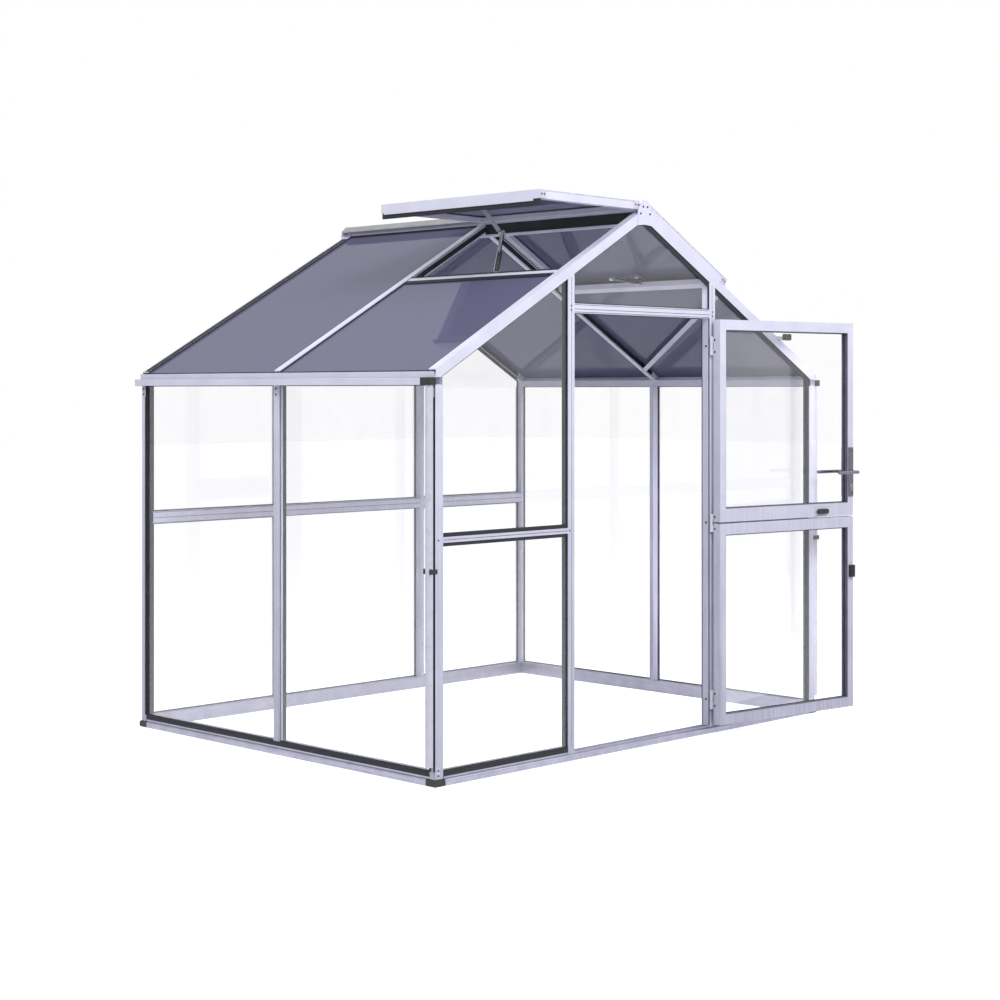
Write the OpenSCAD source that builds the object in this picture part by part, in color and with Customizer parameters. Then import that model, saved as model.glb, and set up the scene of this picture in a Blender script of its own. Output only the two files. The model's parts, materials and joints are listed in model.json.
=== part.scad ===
// Glass greenhouse with a stable door, two roof vents, eave gutters and downpipes.
// The origin is on the ground at the middle of the doorway, in the outer plane of the door gable.
// +X runs along the door gable, +Y along the ridge into the house, and +Z is up.

/* [House] */
// Width over the side walls
house_w = 2440; // [2100:10:3000]
// Length over the two gables
house_l = 1920; // [1500:10:2600]
// Height of the eave beams' underside
eave_h = 1530; // [1380:10:1800]
// Slope of the roof
roof_pitch = 29.5; // [22:0.5:36]

/* [Bars] */
// Width of a bar's outer cap
cap_w = 38; // [30:1:50]
// Thickness of a bar's outer cap
cap_t = 3; // [2:0.5:4]
// Width of a bar's stem behind the cap
stem_w = 24; // [16:1:28]
// Depth of a wall bar, cap and stem
bar_d = 45; // [36:1:60]
// Depth of a rafter, square to the roof
rafter_d = 40; // [34:1:50]
// Width of a corner bar's tube
corner_w = 32; // [26:1:38]
// Reach of a corner bar's cap along the gable
corner_cap = 41; // [40:1:48]
// Metal thickness of the tubes
metal_t = 2; // [1.2:0.2:3]

/* [Sill] */
// Height of the round lower bar of the sill
sill_low_h = 28; // [22:1:36]
// Height of the whole sill
sill_h = 56; // [48:1:70]
// How far the lower bar stands out from the wall
sill_out = 8; // [4:1:12]
// Depth of the sill behind the wall's outer plane
sill_d = 46; // [40:1:56]
// Thickness of the tread strip in the doorway
threshold_t = 6; // [4:1:8]

/* [Rails] */
// Height of the front mid rail's outer face
front_rail_h = 22; // [18:1:30]
// Height of the rear mid rail
rear_rail_h = 52; // [40:1:60]
// Top of the front mid rails
front_rail_top = 949; // [850:1:1050]
// Top of the rear mid rails
rear_rail_top = 964; // [850:1:1050]

/* [Glass] */
// Thickness of the panes
glass_t = 4; // [3:1:4]
// Set-back of the panes behind the outer plane
glass_in = 8; // [6:1:12]
// Gap between a pane's edge and the metal beside it
glass_gap = 0.5; // [0.3:0.1:0.9]
// How far the roof panes reach past the side walls
glass_over = 6; // [4:1:8]

/* [Gutter] */
// Height of the eave beam, which carries the rafters
beam_h = 32; // [26:1:40]
// Width of the gutter channel
gutter_w = 35; // [35:1:60]
// Depth of the gutter channel
gutter_h = 28; // [22:1:28]
// Thickness of the gutter's metal
gutter_t = 2.5; // [2:0.5:3]
// Height of the strip that stops the roof panes, above the eave beam
stop_h = 20; // [16:1:24]
// Length of the outlet block at the gutter's front end
outlet_d = 48; // [40:1:60]
// Radius of the downpipes
pipe_r = 15.5; // [13:0.5:16]
// Thickness of a downpipe's wall
pipe_t = 2; // [1.5:0.5:2.5]
// Height of a downpipe's open end above the ground
pipe_foot = 78; // [60:1:120]
// Height of the pipe clips
clip_h = 820; // [500:10:1100]

/* [Ridge and vents] */
// Height of the ridge web below the apex
ridge_drop = 68; // [60:1:80]
// Height of the ridge crown above the apex
crown_up = 20; // [16:1:26]
// Length of a vent along the slope, from its hinge
vent_len = 625; // [500:5:700]
// Width of a vent frame's rails
vent_rail_w = 38; // [30:1:44]
// Depth of a vent frame's side rails
vent_rail_d = 37; // [30:1:44]
// Depth of the drip lip under the vent's free edge
vent_lip = 8; // [4:1:8]
// How far the vent's free edge reaches past the vent sill
vent_over = 36; // [0:1:50]
// Angle by which the left vent stands open
vent_open = 30; // [10:1:40]
// Distance of the openers from the door gable
opener_y = 440; // [250:10:600]

/* [Door] */
// Clear width between the door posts
door_w = 878; // [740:2:1000]
// Underside of the head rail
head_z = 1827; // [1700:1:1900]
// Height of the head rail
head_h = 38; // [30:1:50]
// Height of the gap between the two leaves, at its middle
split_z = 927; // [850:1:1000]
// Gap round each leaf
leaf_gap = 6; // [5:0.5:8]
// Thickness of the leaves
leaf_t = 40; // [34:1:44]
// Width of the leaves' stiles
stile_w = 36; // [30:1:45]
// Height of the upper leaf's top rail
upper_top_h = 45; // [36:1:60]
// Height of the upper leaf's bottom rail
upper_low_h = 59; // [50:1:70]
// Height of the lower leaf's top rail
lower_top_h = 49; // [40:1:60]
// Height of the lower leaf's bottom rail
lower_low_h = 45; // [36:1:60]
// Angle by which both leaves stand open
door_open = 173; // [90:1:174]
// Radius of the hinge knuckles
knuckle_r = 7; // [5:0.5:7]
// Height of each hinge knuckle
knuckle_h = 26; // [20:1:34]
// Height of the top hinge's middle
top_hinge_z = 1705; // [1600:1:1740]
// Height of the bottom hinge's middle
bottom_hinge_z = 149; // [120:1:260]

/* [Door furniture] */
// Height of the lever handles
lever_z = 1131; // [1060:1:1300]
// Length of a lever
lever_len = 125; // [90:1:140]
// Radius of a lever
lever_r = 8; // [6:0.5:10]
// Distance of a lever's middle from the leaf
lever_out = 46; // [36:1:50]
// Length of the handles' back plates
plate_h = 228; // [180:1:240]
// Width of the handles' back plates
plate_w = 32; // [26:1:34]
// Thickness of the handles' back plates
plate_t = 4; // [3:1:6]
// Length of the turn button
button_len = 71; // [60:1:76]
// Width of the turn button
button_w = 23; // [18:1:28]
// Thickness of the turn button
button_t = 10; // [8:1:14]
// Height of the turn button's middle above the gap between the leaves
button_up = 28; // [24:1:34]
// Height of the lower leaf's latch
latch_z = 671; // [500:1:800]

/* [Hidden] */
$fn = 48;
seat_gap = 0.3;
half_w = house_w / 2;
mid_y = house_l / 2;
cos_p = cos(roof_pitch);
tan_p = tan(roof_pitch);
beam_top = eave_h + beam_h;
eave_roof_z = beam_top + rafter_d / cos_p - corner_w * tan_p;
apex_z = eave_roof_z + half_w * tan_p;
eave_lip = 3;
rafter_end = half_w - eave_lip - seat_gap;
web_w = 24;
crown_w = 32;
post_x = door_w / 2;
post_tube = cap_w - (cap_w - stem_w) / 2;
post_out = post_x + cap_w;
bay_x = post_x + cap_w / 2;
pane_low = sill_h;
rail_edge = 4;
rail_stem_top = front_rail_top - rail_edge;
rail_stem_low = front_rail_top - front_rail_h + rail_edge;
sill_round = sill_out - 1;
sill_top_in = 2;
foot_top = 4;
foot_t = 3;
pipe_u = pipe_r + 2;
pipe_y = pipe_r;
end_t = 4;
outlet_t = 3;
spigot_h = 25;
spigot_clear = 0.3;
spigot_r = pipe_r - pipe_t - spigot_clear;
spigot_t = 2;
clip_t = 3;
vent_seat = 1;
vent_y0 = 4;
vent_y1 = mid_y - 4;
vent_hinge = [crown_w / 2 + 1, apex_z + crown_up + 1];
vent_drop = vent_hinge[0] * sin(roof_pitch) + (vent_hinge[1] - apex_z) * cos_p;
vent_low = vent_seat - vent_drop;
vent_web_gap = 1.9;
vent_start = max(11, (web_w / 2 + vent_web_gap - vent_hinge[0] - vent_low * sin(roof_pitch)) / cos_p);
vent_sill_w = 30;
vent_sill_d = 20;
vent_lip_t = 5;
vent_sill_x = vent_hinge[0] + (vent_len - vent_lip_t - vent_over) * cos_p
    + (vent_low - vent_lip) * sin(roof_pitch) - vent_sill_w - 1;
leaf_half = post_x - leaf_gap - 0.5;
hinge_x = post_x + 1;
hinge_y = -(knuckle_r + 1);
plate_back = 9;
hinge_plate_t = 3;
tab_off = 1;
lower_z0 = sill_low_h + threshold_t + leaf_gap;
lower_z1 = split_z - leaf_gap / 2;
upper_z0 = split_z + leaf_gap / 2;
upper_z1 = head_z - leaf_gap;
lever_x = -leaf_half + stile_w / 2;
spindle_r = 5;
spindle_clear = 1.5;
button_x = -leaf_half / 2;
button_off = 6;

// ---- shared places ----

// Height of the rafters' top plane at x
function roof_z(x) = eave_roof_z + (half_w - abs(x)) * tan_p;
// A point of the roof's side view, n square to the top plane
function slope_pt(x, n) = [x, roof_z(x) + n / cos_p];
// Height of the rafters' underside at x
function rafter_under(x) = roof_z(x) - rafter_d / cos_p;

// ---- shared shapes ----

module both_sides() {
    children();
    mirror([1, 0, 0]) children();
}

// A shape in (y, z), carried along X
module along_x(x0, x1) {
    translate([x0, 0, 0]) rotate([90, 0, 90]) linear_extrude(x1 - x0) children();
}

// A shape in (x, z), carried along Y
module along_y(y0, y1) {
    translate([0, y1, 0]) rotate([90, 0, 0]) linear_extrude(y1 - y0) children();
}

module rect(x0, y0, x1, y1) {
    translate([x0, y0]) square([x1 - x0, y1 - y0]);
}

module tube2d(x0, y0, x1, y1) {
    difference() {
        rect(x0, y0, x1, y1);
        rect(x0 + metal_t, y0 + metal_t, x1 - metal_t, y1 - metal_t);
    }
}

// Plan of a wall bar: cap on the outer plane y = 0, hollow stem behind it
module bar2d() {
    rect(-cap_w / 2, 0, cap_w / 2, cap_t);
    tube2d(-stem_w / 2, 0, stem_w / 2, bar_d);
}

// Plan of a corner bar, its outer corner at the origin, the gable along +x and the side wall along +y
module corner2d() {
    rect(0, 0, corner_cap, cap_t);
    tube2d(0, 0, corner_w, corner_w);
}

// Strip of the roof's side view between two offsets from the top plane, with plumb ends
module slope_strip(x0, x1, n0, n1) {
    polygon([slope_pt(x0, n0), slope_pt(x1, n0), slope_pt(x1, n1), slope_pt(x0, n1)]);
}

// The strip of a rafter: plumb at the ridge, seated on the eave beam
module rafter_strip(n0, n1) {
    difference() {
        slope_strip(web_w / 2 + seat_gap, rafter_end, n0, n1);
        rect(half_w - corner_w, 0, half_w + 1, beam_top);
    }
}

module below_rafters(x0, x1, y0, y1, z0) {
    along_y(y0, y1)
        polygon([[x0, z0], [x1, z0], [x1, rafter_under(x1)], [x0, rafter_under(x0)]]);
}

// Outline of the sill's lower bar, its round outer face towards -y and its base flat past the wall's plane
module sill_outline2d() {
    for (z = [sill_round, sill_low_h - sill_round])
        translate([sill_round - sill_out, z]) circle(sill_round);
    rect(sill_round - sill_out, 0, sill_d, sill_low_h);
    rect(-sill_out, sill_round, 0, sill_low_h - sill_round);
}

module sill_low2d() {
    difference() {
        sill_outline2d();
        rect(metal_t, metal_t, sill_d - metal_t, sill_low_h - metal_t);
    }
}

module sill_top2d() {
    tube2d(sill_top_in, sill_low_h, sill_d, sill_h);
}

// A flat bar with round ends between two points of its plane
module bar_between(a, b, w) {
    translate(a) circle(w / 2);
    translate(b) circle(w / 2);
    translate(a) rotate(atan2(b[1] - a[1], b[0] - a[0])) translate([0, -w / 2]) square([norm(b - a), w]);
}

// Places a piece that is drawn as a side wall's outer plane at y = 0, on the left wall
module on_left_wall() {
    translate([-half_w, 0, 0]) rotate([0, 0, -90]) mirror([1, 0, 0]) children();
}

// ---- base ----

module front_sill() {
    color("gainsboro") {
        along_x(-half_w + sill_d, half_w - sill_d) sill_low2d();
        both_sides() along_x(post_out, half_w - sill_d - seat_gap) sill_top2d();
    }
}

module threshold() {
    color("silver")
        translate([-post_x + 0.5, 2, sill_low_h]) cube([door_w - 1, sill_d - 4, threshold_t]);
}

module rear_sill() {
    color("gainsboro") translate([0, house_l, 0]) mirror([0, 1, 0]) {
        along_x(-half_w + sill_d, half_w - sill_d) sill_low2d();
        along_x(-half_w + sill_d + seat_gap, half_w - sill_d - seat_gap) sill_top2d();
    }
}

module side_sills() {
    color("gainsboro") both_sides() on_left_wall() {
        along_x(sill_d, house_l - sill_d) sill_low2d();
        along_x(corner_w + seat_gap, house_l - corner_w - seat_gap) sill_top2d();
    }
}

// The sill's lower bar turned round the corner, open below
module corner_foot() {
    size = sill_d - 2 * foot_t;
    difference() {
        intersection() {
            along_x(-sill_out, sill_d) sill_outline2d();
            along_y(-sill_out, sill_d) sill_outline2d();
        }
        translate([foot_t, foot_t, -1]) cube([size, size, sill_low_h - foot_top + 1]);
    }
}

module at_corners() {
    both_sides() {
        translate([-half_w, 0, 0]) children();
        translate([-half_w, house_l, 0]) mirror([0, 1, 0]) children();
    }
}

module corner_feet() {
    color("#202022") at_corners() corner_foot();
}

// ---- walls ----

module corner_posts() {
    color("whitesmoke") at_corners()
        translate([0, 0, sill_low_h]) linear_extrude(eave_h - sill_low_h) corner2d();
}

// Plan of a door post: plain jamb towards the doorway, cap lip towards the side section
module door_post2d() {
    rect(post_x, 0, post_out, cap_t);
    tube2d(post_x, 0, post_x + post_tube, bar_d);
}

module door_posts() {
    color("whitesmoke") both_sides() intersection() {
        translate([0, 0, sill_low_h]) linear_extrude(apex_z) door_post2d();
        below_rafters(post_x, post_out, -1, bar_d + 1, 0);
    }
}

module rear_posts() {
    color("whitesmoke") both_sides() intersection() {
        translate([bay_x, house_l, sill_h]) mirror([0, 1, 0]) linear_extrude(apex_z) bar2d();
        below_rafters(post_x, post_out, house_l - bar_d - 1, house_l + 1, 0);
    }
}

module side_bars() {
    color("whitesmoke") both_sides() on_left_wall()
        translate([mid_y, 0, sill_h]) linear_extrude(eave_h - sill_h) bar2d();
}

module head_rail() {
    color("whitesmoke") along_x(-post_x, post_x) tube2d(0, head_z, bar_d, head_z + head_h);
}

// Front mid rails: cap in front between the posts' caps, narrower stem behind it between their tubes
module front_rails() {
    color("whitesmoke") both_sides() {
        along_x(post_out + seat_gap, half_w - corner_cap - seat_gap)
            rect(0, front_rail_top - front_rail_h, cap_t, front_rail_top);
        along_x(post_x + post_tube + seat_gap, half_w - corner_w - seat_gap)
            rect(cap_t, rail_stem_low, bar_d, rail_stem_top);
    }
}

module rear_rails() {
    color("whitesmoke") translate([0, house_l, 0]) mirror([0, 1, 0]) {
        low = rear_rail_top - rear_rail_h;
        along_x(-bay_x + stem_w / 2 + seat_gap, bay_x - stem_w / 2 - seat_gap)
            tube2d(cap_t + 1, low, bar_d, rear_rail_top);
        both_sides() along_x(bay_x + stem_w / 2 + seat_gap, half_w - corner_w - seat_gap)
            tube2d(cap_t + 1, low, bar_d, rear_rail_top);
    }
}

// ---- gutters ----

// Side view of the left gutter: hollow eave beam with a lip under the roof glass, the stop at the
// panes' lower edge, and the channel with a bead along its rim
module gutter2d() {
    bead_r = 3;
    stop_x = half_w + glass_over + glass_gap;
    rim_x = half_w + gutter_w;
    mirror([1, 0]) {
        tube2d(half_w - corner_w, eave_h, half_w, beam_top);
        rect(half_w - eave_lip, beam_top - 1, half_w, roof_z(half_w) - (glass_in + glass_t) / cos_p - 0.2);
        rect(half_w - 1, beam_top - gutter_t, stop_x + gutter_t, beam_top);
        rect(stop_x, beam_top - gutter_t, stop_x + gutter_t, beam_top + stop_h);
        rect(half_w - 1, eave_h, rim_x, eave_h + gutter_t);
        rect(rim_x - gutter_t, eave_h, rim_x, eave_h + gutter_h - bead_r);
        translate([rim_x - bead_r + 0.5, eave_h + gutter_h - bead_r]) circle(bead_r);
    }
}

// The channel stops at the outlet block
module left_gutter() {
    color("whitesmoke") difference() {
        along_y(0, house_l) gutter2d();
        translate([-half_w - gutter_w - 1, -1, eave_h - 1])
            cube([gutter_w + 1, outlet_d + seat_gap + 1, gutter_h + 1 + seat_gap]);
    }
}

module right_gutter() {
    mirror([1, 0, 0]) left_gutter();
}

// Places a piece drawn round the left downpipe's axis
module at_pipe(z) {
    translate([-half_w - pipe_u, pipe_y, z]) children();
}

// Outlet block: a trough open above and towards the channel, with a spigot inside the downpipe
module gutter_outlets() {
    color("#202022") both_sides() difference() {
        union() {
            translate([-half_w - gutter_w - 0.5, -end_t, eave_h])
                cube([gutter_w + 0.5 - seat_gap, outlet_d + end_t, gutter_h]);
            at_pipe(eave_h - spigot_h) cylinder(h = spigot_h + 1, r = spigot_r);
        }
        translate([-half_w - gutter_w - 0.5 + outlet_t, -end_t + outlet_t, eave_h + outlet_t])
            cube([gutter_w + 0.5 - seat_gap - 2 * outlet_t, outlet_d + end_t, gutter_h]);
        at_pipe(eave_h - spigot_h - 1) cylinder(h = spigot_h + outlet_t + 2, r = spigot_r - spigot_t);
    }
}

module gutter_ends() {
    color("whitesmoke") both_sides() along_y(house_l + seat_gap, house_l + end_t)
        rect(-half_w - gutter_w - 1, eave_h - 1, -half_w, eave_h + gutter_h + 1);
}

module downpipes() {
    pipe_h = eave_h - seat_gap - pipe_foot;
    color("whitesmoke") both_sides() at_pipe(pipe_foot) difference() {
        cylinder(h = pipe_h, r = pipe_r);
        translate([0, 0, -1]) cylinder(h = pipe_h + 2, r = pipe_r - pipe_t);
    }
}

// Clip: a ring open outwards, with a lug at each tip and a strap on the corner bar's front
module pipe_clips() {
    clip_w = 18;
    lug_r = 4;
    tip_x = pipe_r * 0.55;
    strap = 9;
    color("#202022") both_sides() at_pipe(clip_h - clip_w / 2) difference() {
        union() {
            cylinder(h = clip_w, r = pipe_r + clip_t);
            for (side = [-1, 1])
                translate([-tip_x, side * (pipe_r + clip_t), 0]) cylinder(h = clip_w, r = lug_r);
            translate([0, -pipe_y - clip_t, 0]) cube([pipe_u + strap, clip_t, clip_w]);
        }
        translate([0, 0, -1]) cylinder(h = clip_w + 2, r = pipe_r + spigot_clear);
        translate([-2 * pipe_r - tip_x, -pipe_r * 0.9, -1]) cube([2 * pipe_r, pipe_r * 1.8, clip_w + 2]);
        translate([pipe_u, -pipe_y, -1]) cube([pipe_r, 2 * pipe_r, clip_w + 2]);
    }
}

// ---- roof ----

module ridge_beam() {
    color("whitesmoke") along_y(0, house_l) {
        tube2d(-web_w / 2, apex_z - ridge_drop, web_w / 2, apex_z + crown_up);
        rect(-crown_w / 2, apex_z + crown_up - 7, crown_w / 2, apex_z + crown_up);
    }
}

// Flared cover over the ridge where no vent hangs
module ridge_cap() {
    top = apex_z + crown_up + seat_gap;
    reach = 44;
    skirt_z = apex_z + 4;
    color("gainsboro") along_y(vent_y1 + 8, house_l) polygon([
        [-crown_w / 2, top + 12], [crown_w / 2, top + 12], [reach, skirt_z + 6], [reach, skirt_z],
        [reach - 4, skirt_z], [crown_w / 2 + 1, top], [-crown_w / 2 - 1, top],
        [-reach + 4, skirt_z], [-reach, skirt_z], [-reach, skirt_z + 6]
    ]);
}

module ridge_end_plates() {
    color("whitesmoke") for (y = [-4, house_l + seat_gap])
        along_y(y, y + 4 - seat_gap) polygon([
            [-crown_w / 2, apex_z + 36], [crown_w / 2, apex_z + 36], [46, apex_z - 10],
            [46, rafter_under(46)], [0, apex_z - ridge_drop], [-46, rafter_under(46)], [-46, apex_z - 10]
        ]);
}

module gable_rafter() {
    difference() {
        union() {
            along_y(0, corner_cap) rafter_strip(-cap_t, 0);
            along_y(0, corner_w) rafter_strip(-rafter_d, 0);
        }
        along_y(metal_t, corner_w - metal_t) rafter_strip(-rafter_d + metal_t, -cap_t);
    }
}

module gable_rafters() {
    color("whitesmoke") both_sides() {
        gable_rafter();
        translate([0, house_l, 0]) mirror([0, 1, 0]) gable_rafter();
    }
}

module mid_rafters() {
    color("whitesmoke") both_sides() difference() {
        union() {
            along_y(mid_y - cap_w / 2, mid_y + cap_w / 2) rafter_strip(-cap_t, 0);
            along_y(mid_y - stem_w / 2, mid_y + stem_w / 2) rafter_strip(-rafter_d, 0);
        }
        along_y(mid_y - stem_w / 2 + metal_t, mid_y + stem_w / 2 - metal_t)
            rafter_strip(-rafter_d + metal_t, -cap_t);
    }
}

module vent_sills() {
    color("whitesmoke") both_sides()
        along_y(corner_w + seat_gap, mid_y - stem_w / 2 - seat_gap)
            slope_strip(vent_sill_x, vent_sill_x + vent_sill_w, -vent_sill_d - cap_t, -cap_t - 1);
}

// Flat diagonal stay under the right slope, from the mid rafter's foot to the front rafter
module roof_brace() {
    stay_w = 24;
    stay_t = 3;
    head_reach = 71;
    foot = [(half_w - corner_w - 60) / cos_p, mid_y - 4];
    head_x = max(vent_sill_x + head_reach, post_out + 2 * stay_w);
    head = [head_x / cos_p, glass_in + glass_t + 1 + stay_w / 2];
    color("gainsboro") translate([0, 0, apex_z]) rotate([0, roof_pitch, 0])
        translate([0, 0, -rafter_d - stay_t - seat_gap]) linear_extrude(stay_t) bar_between(foot, head, stay_w);
}

// ---- vents ----

// Places a piece drawn in (along the slope, y, square to the slope) from the right vent's hinge
module from_vent_hinge(angle) {
    translate([vent_hinge[0], 0, vent_hinge[1]]) rotate([0, roof_pitch - angle, 0]) children();
}

module vent_frame(angle) {
    top = vent_low + vent_rail_d;
    from_vent_hinge(angle) {
        for (y = [vent_y0, vent_y1 - vent_rail_w])
            along_x(vent_start + vent_rail_w + seat_gap, vent_len - vent_rail_w - seat_gap)
                tube2d(y, vent_low, y + vent_rail_w, top);
        along_y(vent_y0, vent_y1) {
            tube2d(vent_start, vent_low, vent_start + vent_rail_w, top);
            rect(seat_gap + 1, -3, vent_start + 1, 0);
        }
        along_y(vent_y0, vent_y1) tube2d(vent_len - vent_rail_w, vent_low, vent_len, top);
        along_y(corner_cap + 1, mid_y - cap_w / 2 - 1)
            rect(vent_len - vent_lip_t, vent_low - vent_lip, vent_len, vent_low + 1);
    }
}

module vent_pane(angle) {
    u0 = vent_start + vent_rail_w + glass_gap;
    y0 = vent_y0 + vent_rail_w + glass_gap;
    z0 = vent_low + vent_rail_d - glass_in - glass_t;
    from_vent_hinge(angle) translate([u0, y0, z0])
        cube([vent_len - vent_rail_w - glass_gap - u0, vent_y1 - vent_rail_w - glass_gap - y0, glass_t]);
}

module left_vent_frame() {
    color("whitesmoke") mirror([1, 0, 0]) vent_frame(vent_open);
}

module right_vent_frame() {
    color("whitesmoke") vent_frame(0);
}

module vent_glass() {
    color("#7d7d96", 0.5) {
        vent_pane(0);
        mirror([1, 0, 0]) vent_pane(vent_open);
    }
}

// A flat link between two points of the (x, z) plane
module link(a, b, y, t = 4, w = 16) {
    along_y(y - t / 2, y + t / 2) bar_between(a, b, w);
}

// Where a point of the vent, u along it and n square to it, lies in the (x, z) plane
function vent_pt(angle, u, n) = [
    vent_hinge[0] + u * cos(roof_pitch - angle) + n * sin(roof_pitch - angle),
    vent_hinge[1] - u * sin(roof_pitch - angle) + n * cos(roof_pitch - angle)
];

// Opener: bracket on the vent sill's uphill side, two links, and an arm that reaches over the sill to the
// vent's free rail
module vent_opener(angle, elbow) {
    bracket_r = 12;
    bracket_w = 30;
    elbow_r = 11;
    arm_w = 12;
    play = 4;
    base = slope_pt(vent_sill_x - bracket_r - seat_gap, -cap_t - 1 - vent_sill_d / 2);
    head_n = vent_low + vent_rail_d - glass_in - glass_t - bracket_r - play;
    head_u = (vent_sill_x - bracket_r - play - vent_hinge[0] - head_n * sin(roof_pitch)) / cos_p;
    head = vent_pt(angle, head_u, head_n);
    link(base, elbow, opener_y - 4);
    link(elbow, head, opener_y + 4);
    link(head, vent_pt(angle, vent_len - vent_rail_w - seat_gap - arm_w / 2, head_n), opener_y, bracket_w, arm_w);
    along_y(opener_y - 10, opener_y + 10) translate(elbow) circle(elbow_r);
    along_y(opener_y - bracket_w / 2, opener_y + bracket_w / 2) {
        translate(base) circle(bracket_r);
        translate(head) circle(bracket_r);
    }
}

module left_vent_opener() {
    elbow = slope_pt(vent_sill_x - 60, 118);
    color("dimgray") mirror([1, 0, 0]) vent_opener(vent_open, elbow);
}

module right_vent_opener() {
    elbow = slope_pt(vent_sill_x - 190, -90);
    color("dimgray") vent_opener(0, elbow);
}

// ---- glass ----

// A gable pane from z0 up to z1, cut under the rafters
module gable_pane(x0, x1, z0, z1) {
    intersection() {
        along_y(glass_in, glass_in + glass_t)
            rect(x0 + glass_gap, z0 + glass_gap, x1 - glass_gap, z1 - glass_gap);
        along_y(0, bar_d) polygon([
            [-half_w, 0], [half_w, 0], [half_w, rafter_under(half_w) - glass_gap],
            [0, rafter_under(0) - glass_gap], [-half_w, rafter_under(half_w) - glass_gap]
        ]);
        along_y(0, bar_d) difference() {
            rect(-half_w, 0, half_w, apex_z);
            rect(-web_w / 2 - glass_gap, apex_z - ridge_drop - glass_gap, web_w / 2 + glass_gap, apex_z);
        }
    }
}

module front_glass() {
    color("white", 0.3) {
        both_sides() {
            gable_pane(post_x + post_tube, half_w - corner_w, pane_low - glass_gap, rail_stem_low);
            gable_pane(post_x + post_tube, half_w - corner_w, rail_stem_top, apex_z);
        }
        gable_pane(-post_x, post_x, head_z + head_h, apex_z);
    }
}

module rear_glass() {
    side_x = bay_x - stem_w / 2;
    low = rear_rail_top - rear_rail_h;
    color("white", 0.3) translate([0, house_l, 0]) mirror([0, 1, 0]) {
        both_sides() {
            gable_pane(bay_x + stem_w / 2, half_w - corner_w, pane_low - glass_gap, low);
            gable_pane(bay_x + stem_w / 2, half_w - corner_w, rear_rail_top, apex_z);
        }
        gable_pane(-side_x, side_x, pane_low - glass_gap, low);
        gable_pane(-side_x, side_x, rear_rail_top, apex_z);
    }
}

module side_glass() {
    color("white", 0.3) both_sides() on_left_wall() {
        for (bay = [[corner_w, mid_y - stem_w / 2], [mid_y + stem_w / 2, house_l - corner_w]])
            along_x(bay[0] + glass_gap, bay[1] - glass_gap)
                rect(glass_in, pane_low, glass_in + glass_t, eave_h - glass_gap);
    }
}

module roof_pane(y0, y1, top_x) {
    along_y(y0 + glass_gap, y1 - glass_gap)
        slope_strip(top_x + glass_gap, half_w + glass_over, -glass_in - glass_t, -glass_in);
}

module right_roof_glass() {
    color("#7d7d96", 0.5) {
        roof_pane(corner_w, mid_y - stem_w / 2, vent_sill_x + vent_sill_w);
        roof_pane(mid_y + stem_w / 2, house_l - corner_w, web_w / 2);
    }
}

module left_roof_glass() {
    mirror([1, 0, 0]) right_roof_glass();
}

// ---- door frame fittings ----

module knuckle(z) {
    translate([hinge_x, hinge_y, z - knuckle_h / 2]) cylinder(h = knuckle_h, r = knuckle_r);
}

module frame_hinge(z) {
    plate_w2 = 27;
    plate_h2 = 70;
    knuckle(z);
    translate([hinge_x + plate_back, -hinge_plate_t, z - plate_h2 / 2]) cube([plate_w2, hinge_plate_t, plate_h2]);
    translate([hinge_x, -hinge_plate_t, z - knuckle_h / 2]) cube([plate_back + 1, hinge_plate_t, knuckle_h]);
}

module frame_hinges() {
    color("lightgray") for (z = [bottom_hinge_z, split_z, top_hinge_z])
        translate([0, -seat_gap / 3, 0]) frame_hinge(z);
}

module keeper_plates() {
    keeper_t = 1.2;
    color("#202022") for (keeper = [[lever_z, 60], [latch_z, 50], [80, 54]])
        translate([-post_x, 8, keeper[0] - keeper[1] / 2]) cube([keeper_t, 22, keeper[1]]);
}

// ---- door leaves, drawn closed and turned to where they stand ----

module swung() {
    translate([hinge_x, hinge_y, 0]) rotate([0, 0, door_open])
        translate([-hinge_x, -hinge_y, 0]) children();
}

module leaf_frame(z0, z1, low_h, top_h) {
    for (x = [-leaf_half, leaf_half - stile_w])
        translate([0, 0, z0]) linear_extrude(z1 - z0) tube2d(x, 0, x + stile_w, leaf_t);
    along_x(-leaf_half + stile_w + seat_gap, leaf_half - stile_w - seat_gap) {
        tube2d(0, z0, leaf_t, z0 + low_h);
        tube2d(0, z1 - top_h, leaf_t, z1);
    }
}

module leaf_pane(z0, z1) {
    x1 = leaf_half - stile_w - glass_gap;
    translate([-x1, leaf_t / 2 - glass_t / 2, z0 + glass_gap]) cube([2 * x1, glass_t, z1 - z0 - 2 * glass_gap]);
}

module leaf_hinge(z, z0, z1) {
    plate_w2 = 34;
    knuckle(z);
    translate([hinge_x - plate_back - plate_w2, -hinge_plate_t, z0]) cube([plate_w2, hinge_plate_t, z1 - z0]);
    translate([hinge_x - plate_back - 1, -hinge_plate_t - tab_off, z - knuckle_h / 2])
        cube([plate_back + 1, hinge_plate_t, knuckle_h]);
}

module lower_leaf_frame() {
    color("whitesmoke") swung() leaf_frame(lower_z0, lower_z1, lower_low_h, lower_top_h);
}

module lower_leaf_glass() {
    color("white", 0.3) swung() leaf_pane(lower_z0 + lower_low_h, lower_z1 - lower_top_h);
}

module lower_leaf_hinges() {
    step = knuckle_h + 0.5;
    color("lightgray") swung() {
        for (side = [-1, 1])
            leaf_hinge(bottom_hinge_z + side * step, bottom_hinge_z - step - knuckle_h / 2,
                bottom_hinge_z + step + knuckle_h / 2);
        leaf_hinge(split_z - step, split_z - step - knuckle_h, lower_z1 - 2);
    }
}

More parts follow.
